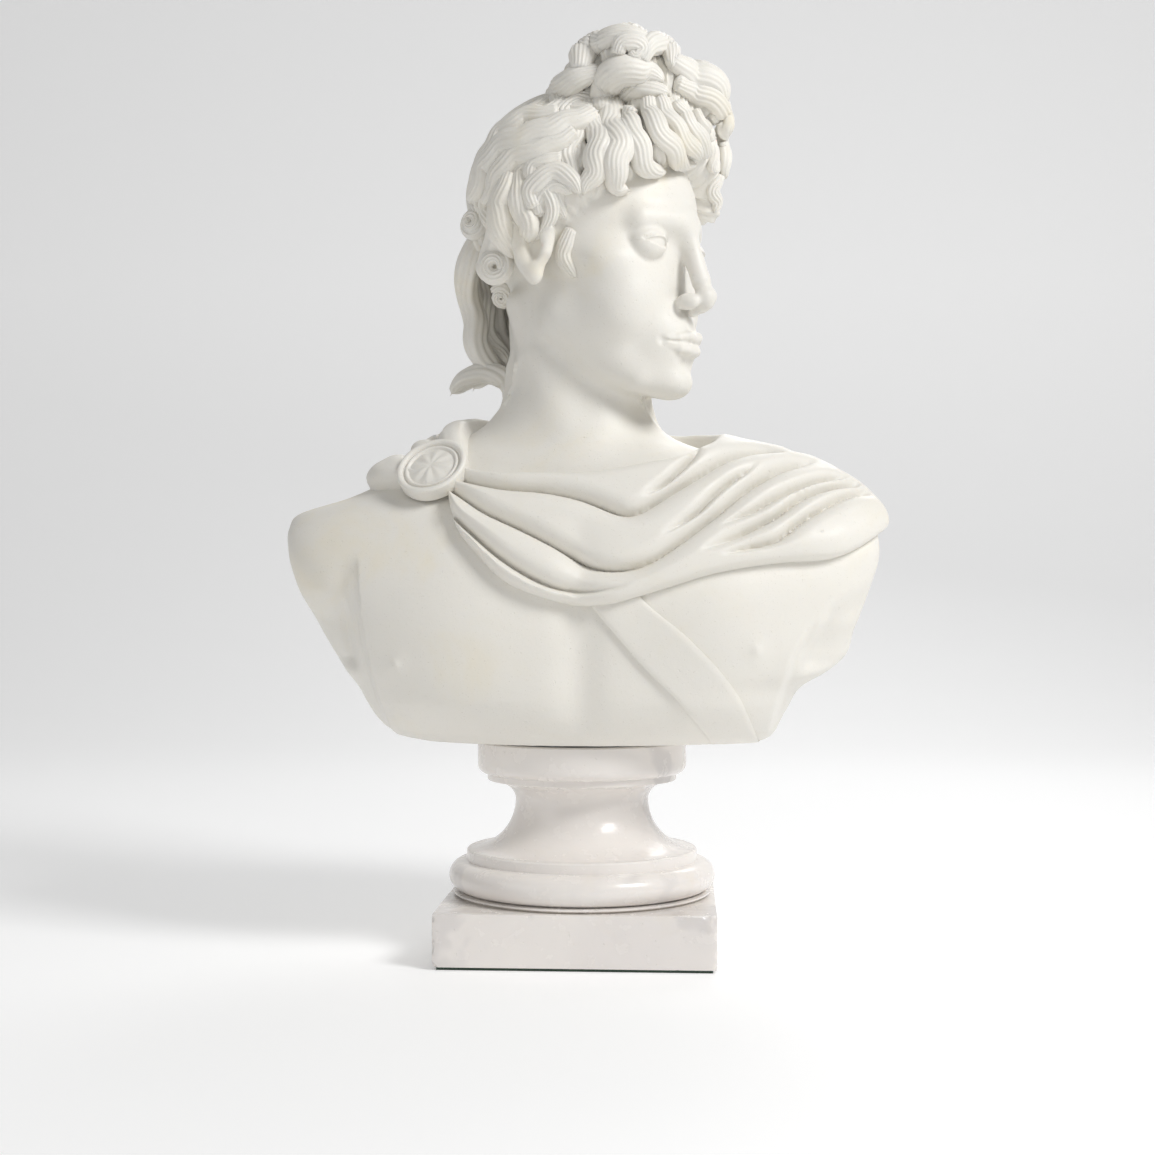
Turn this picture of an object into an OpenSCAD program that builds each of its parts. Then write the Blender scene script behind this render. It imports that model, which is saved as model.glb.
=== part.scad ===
// Marble portrait bust on a turned socle and square plinth.
// Frame: origin on the swivel axis at the underside of the felt, +Z up, the chest faces -Y.

/* [Plinth and felt] */
// Side of the square plinth
plinth_w = 202; // [180:1:240]
// Height of the plinth
plinth_h = 38; // [34:1:60]
// Thickness of the felt under the plinth
felt_t = 2; // [1:0.5:4]
// How far the felt stops short of the plinth's edge
felt_inset = 3; // [1:0.5:8]

/* [Socle] */
// Height of the turned socle
socle_h = 115; // [95:1:150]
// Radius of the smallest part of the waist
waist_r = 50.5; // [42:0.5:60]
// Radius of the cap under the bust
cap_r = 79.5; // [72:0.5:95]
// Height of the cap's upright face
cap_h = 17; // [10:0.5:24]
// Height of the torus moulding
torus_h = 23; // [16:0.5:30]
// Thickness of the mortar bed between socle and plinth
bed_t = 1; // [0.5:0.5:3]
// Thickness of the lead slip disc under the bust
slip_t = 1.5; // [1:0.5:3]

/* [Bust] */
// Height of the carved block from its seat to the top of the hair
bust_h = 542.5; // [440:1:660]
// Width across the cut arms
shoulder_w = 449; // [370:1:540]
// Depth scale of the block, 1 as carved
depth_k = 1; // [0.85:0.01:1.2]
// Thickness of the chest wall in front of the hollow back
wall_t = 34; // [26:1:44]
// Thickness of the side walls under the cut arms
side_wall = 24; // [18:1:36]
// Width of the support left standing in the hollow
strut_w = 104; // [90:1:130]
// Height of the hollow above the seat
hollow_h = 150; // [110:1:170]
// Turn of the head towards the left shoulder
head_turn = 63; // [40:1:75]
// Relief of the cloak over the chest
cloak_t = 8; // [4:1:14]
// Diameter of the round brooch on the right shoulder
brooch_d = 54; // [40:1:64]

/* [Fixing] */
// Diameter of the threaded rod
rod_d = 12; // [8:1:16]
// Depth of the hole in the bust for the rod
socket_depth = 110; // [70:1:150]
// Wall of resin around the rod
resin_wall = 4; // [2:0.5:7]
// Radial clearance of the rod in the socle and plinth
rod_clearance = 2; // [1:0.5:4]
// Outside diameter of the steel washer
washer_d = 40; // [30:1:50]
// Thickness of the steel washer
washer_t = 2.5; // [1.5:0.5:4]
// Thickness of the rubber washer
rubber_t = 3; // [1.5:0.5:4]
// Diameter of the two brass dowels between socle and plinth
dowel_d = 8; // [5:0.5:12]
// Length of the brass dowels
dowel_l = 26; // [16:1:34]

/* [Hidden] */
$fn = 96;
eps = 0.01;

// Heights of the stack, from the felt up
plinth_z = felt_t;
bed_z = plinth_z + plinth_h;
socle_z = bed_z + bed_t;
slip_z = socle_z + socle_h;
seat_z = slip_z + slip_t;

// Fastener sizes that follow from the rod
nut_h = 0.85 * rod_d;
lock_nut_h = 0.5 * rod_d;
nut_across_flats = 1.58 * rod_d;
rod_tail = 2.5;
recess_d = washer_d + 18;
recess_h = rubber_t + washer_t + nut_h + lock_nut_h + rod_tail + 1;
recess_top_z = plinth_z + recess_h;
rubber_z = recess_top_z - rubber_t;
washer_z = rubber_z - washer_t;
nut_z = washer_z - nut_h;
lock_nut_z = nut_z - lock_nut_h;
rod_bottom_z = lock_nut_z - rod_tail;
resin_cap = 6;
rod_top_z = seat_z + socket_depth - resin_cap;
socket_d = rod_d + 2 * resin_wall;
way_d = rod_d + 2 * rod_clearance;
dowel_x = 0.32 * plinth_w;
dowel_z = bed_z + bed_t / 2 - dowel_l / 2;

// Place of the head and of the brooch in the block, above the seat
head_x = 3;
head_y = 0;
head_z = 0.659 * bust_h;
brooch_t = 24;
brooch_x = -0.253 * shoulder_w;
brooch_y = -52 * depth_k;
brooch_h = 0.352 * bust_h;

// Mouldings of the socle, as radii and heights above its underside
foot_r = plinth_w / 2;
foot_fillet_h = 3;
ring_r = 0.868 * foot_r;
ring_h = 8.5;
ring_top = foot_fillet_h + torus_h + ring_h;
cap_round = 9;
neck_fillet_h = 5;
scotia_top = socle_h - cap_h - cap_round - neck_fillet_h;
scotia_h = scotia_top - ring_top;
scotia_low_r = 0.58 * scotia_h;
scotia_high_r = scotia_h - scotia_low_r;
neck_fillet_r = cap_r - 7.5;

// The carved torso. Each station gives its height and, at that height, the left and right ends, the depth
// of the middle plane, half the thickness of the ends, how far the front and back bulge from the middle
// plane, and the fullness of the curve. Lengths are in hundredths: heights of bust_h, widths of half of
// shoulder_w, and depths of 100 mm times depth_k.
STATIONS = [
  [0.0, -59, 61, 10, 16, 98, 72, 2.6],
  [1.6, -68, 67.5, 8, 22, 106, 78, 2.7],
  [5, -71.5, 69.5, 6, 26, 111, 82, 2.8],
  [8.4, -77, 77, 4, 34, 113, 84, 2.7],
  [11, -81.5, 86, 3, 38, 114, 86, 2.6],
  [15.5, -87.5, 91, 2, 42, 114, 90, 2.5],
  [22, -94, 96.5, 2, 46, 111, 96, 2.4],
  [27.5, -97.5, 100.5, 4, 46, 106, 102, 2.3],
  [31, -97.5, 101, 6, 40, 100, 104, 2.2],
  [34.4, -83, 94, 9, 30, 92, 104, 2.1],
  [37.5, -72, 79, 12, 20, 84, 100, 2],
  [40.5, -60, 50, 16, 10, 74, 88, 2],
  [43.5, -46, 31, 17, 2, 64, 74, 2],
  [46.5, -31, 23.5, 15, 0.5, 59, 62, 2],
  [51, -27, 22.5, 12, 0.5, 56, 58, 2],
  [57, -26, 24, 8, 0.5, 55, 58, 2]
];
rows_per_span = 2;
// Columns on each side of the middle: across the support, across the pocket, and across the side wall
strut_n = 4;
pocket_n = 8;
wall_n = 5;
half_n = strut_n + pocket_n + wall_n + 1;
pocket_step = 5;

// Catmull-Rom point between rows b and c, with a and d their neighbours
function spline(a, b, c, d, f) =
  0.5 * (2 * b + (c - a) * f + (2 * a - 5 * b + 4 * c - d) * f * f + (3 * b - a - 3 * c + d) * f * f * f);
function station(i) = STATIONS[max(0, min(len(STATIONS) - 1, i))];
ROWS = [
  for (i = [0 : len(STATIONS) - 2])
    for (k = [0 : rows_per_span - 1])
      spline(station(i - 1), station(i), station(i + 1), station(i + 2), k / rows_per_span),
  station(len(STATIONS) - 1)
];

function bell(s, n) = pow(max(0, 1 - pow(s, n)), 1 / n);
function smooth(a, b, v) = let (f = max(0, min(1, (v - a) / (b - a)))) f * f * (3 - 2 * f);
function row_h(r) = r[0] / 100 * bust_h;
function row_end(r, j) = abs(j < 0 ? r[1] : r[2]) / 100 * shoulder_w / 2;
function mix(a, b, f) = a + (b - a) * f;

// Distance from the middle of column k of a row with its end at e: spaced to the pocket's own edges low down,
// and evenly crowded to the ends higher up
function pocket_x(e, k) =
  k <= strut_n ? strut_w / 2 * k / strut_n
  : k <= strut_n + pocket_n
    ? mix(strut_w / 2 + pocket_step, e - side_wall - pocket_step, (k - strut_n - 1) / (pocket_n - 1))
    : e - side_wall * (1 - sin(90 * (k - strut_n - pocket_n - 1) / wall_n));
function row_x(r, j) =
  let (e = row_end(r, j), k = abs(j), lift = smooth(hollow_h + 10, hollow_h + 60, row_h(r)))
  sign(j) * mix(pocket_x(e, k), e * sin(90 * k / half_n), lift);
function row_s(r, j) = abs(row_x(r, j)) / row_end(r, j);

// The cloak hangs in a bow from the brooch at the right shoulder to the left arm
function cloak_hem(x) = bust_h * (0.19 + 0.075 * pow(abs(x + 8) / (0.27 * shoulder_w), x < 0 ? 2.1 : 1.1));
function cloak_relief(x, h) =
  let (over = h - cloak_hem(x))
  cloak_t * smooth(-3, 5, over) * smooth(-0.36, -0.26, x / shoulder_w) * (1 + 0.3 * sin(over * 9));
function front_y(r, j) =
  let (s = row_s(r, j))
  depth_k * (r[3] - r[4] - (r[5] - r[4]) * bell(s, r[7]))
  - (1 - s * s) * cloak_relief(row_x(r, j), row_h(r)) * (1 - smooth(0.42, 0.46, row_h(r) / bust_h));
function full_back_y(r, j) = depth_k * (r[3] + r[4] + (r[6] - r[4]) * bell(row_s(r, j), r[7]));

// 1 inside the two pockets of the hollow back, 0 in the support, in the side walls and above the hollow
function hollow(r, j) =
  abs(j) > strut_n && abs(j) <= strut_n + pocket_n ? 1 - smooth(hollow_h - 14, hollow_h + 8, row_h(r)) : 0;
function back_y(r, j) = mix(full_back_y(r, j), front_y(r, j) + wall_t, hollow(r, j));

row_n = len(ROWS);
side_n = 2 * half_n + 1;
TORSO_POINTS = concat(
  [for (r = ROWS) for (j = [-half_n : half_n]) [row_x(r, j), front_y(r, j), row_h(r)]],
  [for (r = ROWS) for (j = [-half_n : half_n]) [row_x(r, j), back_y(r, j), row_h(r)]]
);
columns = side_n - 1;
function front_i(i, j) = i * side_n + j;
function back_i(i, j) = (row_n + i) * side_n + j;
function quad(a, b, c, d) = [[a, b, c], [a, c, d]];
TORSO_FACES = concat(
  [for (i = [0 : row_n - 2]) for (j = [0 : columns - 1])
    each quad(front_i(i, j), front_i(i + 1, j), front_i(i + 1, j + 1), front_i(i, j + 1))],
  [for (i = [0 : row_n - 2]) for (j = [0 : columns - 1])
    each quad(back_i(i, j), back_i(i, j + 1), back_i(i + 1, j + 1), back_i(i + 1, j))],
  [for (i = [0 : row_n - 2]) each quad(front_i(i, 0), back_i(i, 0), back_i(i + 1, 0), front_i(i + 1, 0))],
  [for (i = [0 : row_n - 2])
    each quad(front_i(i, columns), front_i(i + 1, columns), back_i(i + 1, columns), back_i(i, columns))],
  [for (j = [0 : columns - 1]) each quad(front_i(0, j), front_i(0, j + 1), back_i(0, j + 1), back_i(0, j))],
  [for (j = [0 : columns - 1])
    each quad(front_i(row_n - 1, j), back_i(row_n - 1, j), back_i(row_n - 1, j + 1), front_i(row_n - 1, j + 1))]
);

// The head, in its own frame: origin between the ears at eye level, the face towards -Y. Lengths are in
// thousandths of bust_h. The head is the outer skin of a group of ellipsoids [centre, half-sizes].
HEAD_FORMS = [
  [[0, 26, 46], [136, 178, 156]],       // skull
  [[0, -46, -50], [108, 106, 136]],     // face
  [[0, -98, -146], [54, 56, 44]],       // chin
  [[0, -146, -62], [18, 40, 36]],       // nose
  [[0, 30, 76], [152, 186, 152]],       // hair over the skull
  [[-10, -76, 136], [128, 92, 76]]      // locks over the forehead
];
// Round tufts [centre, radius]: the two bows of the top knot, its middle, and the two side curls
TUFTS = [
  [[-62, -100, 284], 56],
  [[44, -138, 232], 50],
  [[-10, -100, 236], 56],
  [[-128, 96, 60], 38],
  [[-134, 58, -6], 34]
];
// The lock that hangs down the nape to its end curl
NAPE_LOCK = [[[-52, 152, 30], 54], [[-30, 172, -70], 48], [[-10, 178, -140], 42], [[0, 196, -158], 34]];
blend = 9;
head_rings = 30;
head_sides = 48;

// How far a ray along d from the head's origin runs before it leaves the ellipsoid [centre, half-sizes]
function leaves(d, form) =
  let (u = [for (k = [0 : 2]) d[k] / form[1][k]], v = [for (k = [0 : 2]) form[0][k] / form[1][k]],
       b = u * v, q = b * b - (u * u) * (v * v - 1))
  q < 0 ? 0 : max(0, (b + sqrt(q)) / (u * u));
function sum(list) = list * [for (value = list) 1];
function head_r(d) = bust_h / 10 * pow(sum([for (form = HEAD_FORMS) pow(leaves(d, form) / 100, blend)]), 1 / blend);
function head_point(k, j) =
  let (lift = -90 + 180 * k / head_rings, turn = 360 * j / head_sides,
       d = [cos(lift) * cos(turn), cos(lift) * sin(turn), sin(lift)])
  head_r(d) * d;
HEAD_POINTS = concat(
  [for (k = [1 : head_rings - 1]) for (j = [0 : head_sides - 1]) head_point(k, j)],
  [head_point(0, 0), head_point(head_rings, 0)]
);
head_low = (head_rings - 1) * head_sides;
function head_i(k, j) = (k - 1) * head_sides + j % head_sides;
HEAD_FACES = concat(
  [for (k = [1 : head_rings - 2]) for (j = [0 : head_sides - 1])
    each quad(head_i(k, j), head_i(k + 1, j), head_i(k + 1, j + 1), head_i(k, j + 1))],
  [for (j = [0 : head_sides - 1]) [head_low, head_i(1, j), head_i(1, j + 1)]],
  [for (j = [0 : head_sides - 1]) [head_low + 1, head_i(head_rings - 1, j + 1), head_i(head_rings - 1, j)]]
);

module tuft(spot) { translate(spot[0] * bust_h / 1000) sphere(r = spot[1] * bust_h / 1000); }

module head() {
  translate([head_x, head_y, head_z]) rotate([0, 0, head_turn]) {
    polyhedron(points = HEAD_POINTS, faces = HEAD_FACES, convexity = 6);
    for (spot = TUFTS) tuft(spot);
    for (k = [0 : len(NAPE_LOCK) - 2])
      hull() {
        tuft(NAPE_LOCK[k], $fn = 24);
        tuft(NAPE_LOCK[k + 1], $fn = 24);
      }
  }
}

module brooch() {
  translate([brooch_x, brooch_y, brooch_h]) rotate([62, 0, -18]) cylinder(d = brooch_d, h = brooch_t);
}

module bust() {
  color("ivory")
  translate([0, 0, seat_z])
  difference() {
    union() {
      polyhedron(points = TORSO_POINTS, faces = TORSO_FACES, convexity = 8);
      head();
      brooch();
    }
    translate([0, 0, -1]) cylinder(d = socket_d, h = socket_depth + 1);
  }
}

module threaded_rod() {
  color("silver")
  translate([0, 0, rod_bottom_z]) cylinder(d = rod_d, h = rod_top_z - rod_bottom_z);
}

module resin_sleeve() {
  color("wheat")
  difference() {
    translate([0, 0, seat_z]) cylinder(d = socket_d, h = socket_depth);
    translate([0, 0, seat_z - 1]) cylinder(d = rod_d, h = rod_top_z - seat_z + 1);
  }
}

// A hexagon nut standing on z
module nut(z, h) {
  translate([0, 0, z])
  difference() {
    cylinder(d = nut_across_flats / cos(30), h = h, $fn = 6);
    translate([0, 0, -1]) cylinder(d = rod_d, h = h + 2);
  }
}

module hex_nut() { color("silver") nut(nut_z, nut_h); }
module lock_nut() { color("silver") nut(lock_nut_z, lock_nut_h); }

// A flat ring standing on z
module ring(z, outer_d, inner_d, h) {
  translate([0, 0, z])
  difference() {
    cylinder(d = outer_d, h = h);
    translate([0, 0, -1]) cylinder(d = inner_d, h = h + 2);
  }
}

module slip_disc() { color("slategray") ring(slip_z, 2 * (cap_r - 7), way_d, slip_t); }
module rubber_washer() { color("dimgray") ring(rubber_z, washer_d + 4, way_d, rubber_t); }
module steel_washer() { color("silver") ring(washer_z, washer_d, rod_d + 1, washer_t); }

// Half of the socle's turned profile: filleted foot, torus, ring, scotia, neck fillet and cap
module socle_profile() {
  difference() {
    union() {
      square([foot_r - 3, foot_fillet_h + eps]);
      translate([0, foot_fillet_h]) square([foot_r - torus_h / 2, torus_h]);
      translate([foot_r - torus_h / 2, foot_fillet_h + torus_h / 2]) circle(d = torus_h);
      translate([0, ring_top - ring_h - eps]) square([ring_r, ring_h + eps]);
      translate([0, ring_top - eps]) square([waist_r + scotia_low_r, scotia_low_r + eps]);
      translate([0, ring_top + scotia_low_r - eps]) square([waist_r + scotia_high_r, scotia_high_r + eps]);
      translate([0, scotia_top - eps]) square([neck_fillet_r, neck_fillet_h + eps]);
      translate([0, scotia_top + neck_fillet_h - eps]) square([cap_r - cap_round, cap_round + 2 * eps]);
      translate([cap_r - cap_round, scotia_top + neck_fillet_h + cap_round]) circle(r = cap_round);
      translate([0, socle_h - cap_h]) square([cap_r, cap_h]);
    }
    translate([waist_r + scotia_low_r, ring_top + scotia_low_r]) circle(r = scotia_low_r);
    translate([waist_r + scotia_high_r, ring_top + scotia_low_r]) circle(r = scotia_high_r);
  }
}

module dowel_pair(clearance) {
  for (side = [-1, 1])
    translate([side * dowel_x, 0, dowel_z - clearance]) cylinder(d = dowel_d, h = dowel_l + 2 * clearance);
}

module socle() {
  color("ivory")
  difference() {
    translate([0, 0, socle_z]) rotate_extrude() socle_profile();
    translate([0, 0, socle_z - 1]) cylinder(d = way_d, h = socle_h + 2);
    dowel_pair(1);
  }
}

module setting_bed() {
  color("gainsboro")
  difference() {
    ring(bed_z, 2 * (foot_r - 6), way_d, bed_t);
    dowel_pair(1);
  }
}

module locating_dowels() { color("goldenrod") dowel_pair(0); }

module plinth() {
  color("ivory")
  difference() {
    translate([-plinth_w / 2, -plinth_w / 2, plinth_z]) cube([plinth_w, plinth_w, plinth_h]);
    translate([0, 0, plinth_z - 1]) cylinder(d = recess_d, h = recess_h + 1);
    translate([0, 0, plinth_z - 1]) cylinder(d = way_d, h = plinth_h + 2);
    dowel_pair(1);
  }
}

module felt_base() {
  felt_w = plinth_w - 2 * felt_inset;
  color("darkgreen")
  translate([-felt_w / 2, -felt_w / 2, 0]) cube([felt_w, felt_w, felt_t]);
}

bust();
threaded_rod();
resin_sleeve();
hex_nut();
lock_nut();
slip_disc();
socle();
setting_bed();
locating_dowels();
plinth();
rubber_washer();
steel_washer();
felt_base();
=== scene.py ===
"""Marble bust of a youth in a pinned cloak, on a turned socle and a square plinth.

The carving is worked in millimetres in the object's own frame: +Z is up, the chest faces -Y and the figure's
left is +X. Each carved piece is the surface where a distance field is zero; locks of hair, the cloak and the
strap are swept over that surface. Meshes are written in metres.
"""
import math

import bpy
import numpy as np
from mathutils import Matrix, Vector


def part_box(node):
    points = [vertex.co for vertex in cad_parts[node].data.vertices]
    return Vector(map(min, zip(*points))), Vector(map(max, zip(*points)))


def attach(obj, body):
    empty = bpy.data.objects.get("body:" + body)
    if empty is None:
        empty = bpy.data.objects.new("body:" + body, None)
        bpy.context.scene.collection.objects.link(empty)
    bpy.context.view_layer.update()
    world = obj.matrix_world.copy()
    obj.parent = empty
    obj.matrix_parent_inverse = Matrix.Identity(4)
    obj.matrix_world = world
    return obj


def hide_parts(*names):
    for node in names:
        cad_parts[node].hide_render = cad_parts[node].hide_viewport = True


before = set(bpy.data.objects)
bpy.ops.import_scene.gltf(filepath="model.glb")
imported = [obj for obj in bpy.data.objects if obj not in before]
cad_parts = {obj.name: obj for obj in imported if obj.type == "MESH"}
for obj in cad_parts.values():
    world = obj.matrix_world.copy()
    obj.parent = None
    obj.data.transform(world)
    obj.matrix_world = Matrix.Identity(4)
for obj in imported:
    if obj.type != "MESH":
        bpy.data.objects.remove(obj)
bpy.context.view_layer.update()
bpy.ops.object.select_all(action="DESELECT")

M = 0.001                                   # metres in a millimetre
EYE = np.array((75.0, -1301.0, 258.0))      # the viewpoint that the front of the carving is laid out from
AIM = np.array((-3.4, 0.0, 280.0))          # the point that it looks at
LENS = 53.0                                 # on a frame 36 mm wide
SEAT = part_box("bust")[0][2] / M             # height of the bust's flat seat
SLEEVE_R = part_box("resin_sleeve")[1][0] / M
SLEEVE_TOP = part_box("resin_sleeve")[1][2] / M
FINE = 1.9       # grid step of the head
BROAD = 2.2      # grid step of the torso
BLOCK_STEP = 2.0     # grid step of the plinth
RING_GAP = 2.0   # distance between the rings of a lock
CLOAK_ROUND = 560    # points round the cloak
CLOAK_ACROSS = 96     # points from its top edge to its hem
NECK_BLEND = 22                             # how softly the neck runs into the chest
dice = np.random.default_rng(11)            # places and widths of the upper layer of back locks


# ---------------------------------------------------------------- numbers
def curve(x, xs, ys):
    """Smooth cubic through the stations (xs, ys), read at x."""
    xs = np.asarray(xs, float)
    ys = np.asarray(ys, float)
    slope = np.gradient(ys, xs)
    i = np.clip(np.searchsorted(xs, x) - 1, 0, len(xs) - 2)
    h = xs[i + 1] - xs[i]
    t = np.clip((x - xs[i]) / h, 0, 1)
    a = (1 + 2 * t) * (1 - t) ** 2
    b = t * (1 - t) ** 2 * h
    c = t * t * (3 - 2 * t)
    d = t * t * (t - 1) * h
    return a * ys[i] + b * slope[i] + c * ys[i + 1] + d * slope[i + 1]


def smooth(a, b, x):
    t = np.clip((x - a) / (b - a), 0, 1)
    return t * t * (3 - 2 * t)


def hill(x, centre, half):
    return np.exp(-(((x - centre) / half) ** 2))


def through(points, count, closed=False):
    """count points along a smooth line through the given ones, spaced by length (Catmull-Rom)."""
    p = np.asarray(points, float)
    ends = (p[-1:], p[:1], p[1:2]) if closed else (2 * p[:1] - p[1:2], 2 * p[-1:] - p[-2:-1])
    q = np.vstack((ends[0], p, *ends[1:]))
    out = []
    for k in range(len(q) - 3):
        t = np.linspace(0, 1, 24, endpoint=False)[:, None]
        a, b, c, d = q[k:k + 4]
        out.append(0.5 * (2 * b + (c - a) * t + (2 * a - 5 * b + 4 * c - d) * t * t
                          + (3 * b - a - 3 * c + d) * t ** 3))
    out = np.vstack((*out, q[-2:-1]))
    run = np.concatenate(((0,), np.cumsum(np.linalg.norm(np.diff(out, axis=0), axis=1))))
    at = np.linspace(0, run[-1], count, endpoint=not closed)
    return np.stack([np.interp(at, run, out[:, k]) for k in range(p.shape[1])], 1)


def unit(v):
    return v / np.maximum(np.linalg.norm(v, axis=-1, keepdims=True), 1e-9)


# ---------------------------------------------------------------- distance fields, in millimetres
def ball(p, c, r):
    return np.linalg.norm(p - np.asarray(c, np.float32), axis=1) - r


def egg(p, c, r):
    r = np.asarray(r, np.float32)
    q = (p - np.asarray(c, np.float32)) / r
    k = np.linalg.norm(q, axis=1)
    return k * (k - 1) / np.maximum(np.linalg.norm(q / r, axis=1), 1e-6)


def stick(p, a, b, ra, rb):
    """A rod from a to b whose radius goes from ra to rb."""
    a = np.asarray(a, np.float32)
    b = np.asarray(b, np.float32)
    t = np.clip((p - a) @ (b - a) / ((b - a) @ (b - a)), 0, 1)
    return np.linalg.norm(p - a - t[:, None] * (b - a), axis=1) - (ra + (rb - ra) * t)


def worm(p, spine, k=0.0):
    """A chain of sticks; each entry of the spine is x, y, z, radius."""
    d = None
    for one, two in zip(spine[:-1], spine[1:]):
        e = stick(p, one[:3], two[:3], one[3], two[3])
        d = e if d is None else join(d, e, k)
    return d


def join(a, b, k=0.0):
    if k == 0:
        return np.minimum(a, b)
    h = np.maximum(k - np.abs(a - b), 0) / k
    return np.minimum(a, b) - h * h * k / 4


def keep(a, b, k=0.0):
    return -join(-a, -b, k)


def cut(a, b, k=0.0):
    return keep(a, -b, k)


# ---------------------------------------------------------------- torso
# Height, left and right outline, depth of the middle plane, half thickness of the ends, reach of the front
# and of the back from the middle plane, and fullness of the curve
TORSO = np.array((
    (157.5, -122, 136, 10, 18, 94, 72, 2.6),
    (160, -134, 143, 10, 19, 98, 74, 2.6),
    (165, -147, 148, 9, 21, 103, 76, 2.7),
    (172, -154, 151, 8, 23, 107, 79, 2.8),
    (184, -161, 157, 6, 26, 110, 82, 2.8),
    (200, -169, 168, 4, 32, 111, 84, 2.7),
    (208, -175, 182, 4, 35, 111, 85, 2.7),
    (217, -182, 195, 3, 38, 110, 86, 2.6),
    (242, -197, 205, 2, 42, 109, 90, 2.5),
    (277, -212, 217, 2, 46, 105, 96, 2.4),
    (300, -218, 222, 4, 46, 100, 100, 2.3),
    (316, -219, 219, 6, 42, 95, 100, 2.2),
    (327, -213, 211, 7, 38, 91, 99, 2.2),
    (340, -176, 199, 9, 30, 86, 98, 2.1),
    (352, -152, 180, 11, 23, 81, 96, 2.1),
    (361, -137, 160, 12, 18, 76, 92, 2.0),
    (369, -124, 128, 13, 12, 70, 86, 2.0),
    (377, -112, 96, 15, 8, 64, 80, 2.0),
    (393, -84, 62, 16, 2, 56, 68, 2.0),
    (412, -60, 48, 15, 1, 50, 58, 2.0),
    (440, -50, 44, 14, 1, 48, 54, 2.0)))
GRID_X = np.arange(-260, 261, 1.0)
GRID_Z = np.arange(140, 441, 1.0)
WALL = 40.0          # stone left in front of the hollow back
SIDE_WALL = 25.0
SUPPORT = 104.0      # width of the support in the hollow
HOLLOW_TOP = 302.0
# The line where each side of the chest turns back to the ribs: x at heights z
RIGHT_TURN = ((160, -136), (179, -140), (190, -143), (219, -149), (248, -154), (292, -158), (335, -158))
LEFT_TURN = ((160, 138), (182, 141), (191, 143), (205, 147), (223, 153), (240, 162), (300, 170))


def torso_column(k):
    """One column of TORSO, read at each height of the grid."""
    return curve(GRID_Z, TORSO[:, 0], TORSO[:, k])[None, :]


def outline_reach(column_n, reach_column):
    """How far front or back stands from the middle plane, for each x and z."""
    x = GRID_X[:, None]
    side = np.where(x < 0, -torso_column(1), torso_column(2))
    s = np.clip(np.abs(x) / side, 0, 1)
    n = torso_column(column_n)
    bell = np.power(np.maximum(1 - np.power(s, n), 0), 1 / n)
    end = torso_column(4)
    return end + (torso_column(reach_column) - end) * bell


def chest_relief(x, z):
    """How far the modelling of the chest stands forward of its plain form."""
    out = 7 * hill(x, -88, 54) * hill(z, 246, 46) + 7 * hill(x, 100, 50) * hill(z, 246, 46)
    out -= 4.5 * hill(x, 4, 15) * smooth(150, 200, z) * smooth(330, 280, z)
    under = smooth(192, 156, z)
    out -= under * (9 * hill(x, -92, 50) + 8 * hill(x, 98, 46) + 2)
    for nipple_x, nipple_z in ((-128, 216), (129, 227)):
        away = np.hypot(x - nipple_x, z - nipple_z)
        out += 1.8 * np.exp(-((away / 3.6) ** 2)) + 0.7 * np.exp(-((away / 10) ** 4))
    out -= 2.5 * hill(z + 0.12 * x, 352, 9) * hill(x, -45, 40)
    return out


def side_recess(x, z):
    """How far the ribs and the hollow under each arm stand back from the chest."""
    right = curve(z, *zip(*RIGHT_TURN)) - x
    left = x - curve(z, *zip(*LEFT_TURN))
    strip = 10 * smooth(296, 236, z)
    out = strip * smooth(0, 7, right)
    out += 7 * hill(right, 7, 14) * smooth(300, 262, z) * (right > 0)
    out += strip * smooth(0, 8, left) * smooth(250, 225, z)
    pit_right = smooth(9, 18, right) * smooth(207, 222, z) * smooth(272, 246, z)
    pit_left = smooth(8, 18, left) * smooth(207, 220, z) * smooth(14, -8, z - 243 - 0.62 * (x - 172))
    return out + 11 * pit_right + 11 * pit_left


def depth_maps():
    """y of the front, the back and the unmodelled front, for each x and z of the grid."""
    x = GRID_X[:, None]
    z = GRID_Z[None, :]
    middle = torso_column(3)
    front = middle - outline_reach(7, 5) - chest_relief(x, z) + side_recess(x, z)
    back = middle + outline_reach(7, 6)
    spine = 5 * hill(x, 0, 14) * smooth(300, 330, z)
    blades = 4 * hill(x, -78, 34) * hill(z, 318, 26) + 4 * hill(x, 78, 34) * hill(z, 318, 26)
    return front, back - spine + blades, middle - outline_reach(7, 5)


FRONT, BACK, PLAIN_FRONT = depth_maps()


def steepness(sheet):
    """Turns a depth difference into a distance, at each place of a depth map."""
    gx, gz = np.gradient(sheet)
    return np.sqrt(1 + gx * gx + gz * gz)


FRONT_STEEP, BACK_STEEP, PLAIN_STEEP = steepness(FRONT), steepness(BACK), steepness(PLAIN_FRONT)


def read_map(sheet, x, z):
    """Value of a depth map at x and z, between its grid points."""
    i = np.clip(x - GRID_X[0], 0, len(GRID_X) - 1.001)
    j = np.clip(z - GRID_Z[0], 0, len(GRID_Z) - 1.001)
    i0, j0 = i.astype(int), j.astype(int)
    fi, fj = i - i0, j - j0
    low = sheet[i0, j0] * (1 - fj) + sheet[i0, j0 + 1] * fj
    high = sheet[i0 + 1, j0] * (1 - fj) + sheet[i0 + 1, j0 + 1] * fj
    return low * (1 - fi) + high * fi


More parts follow.
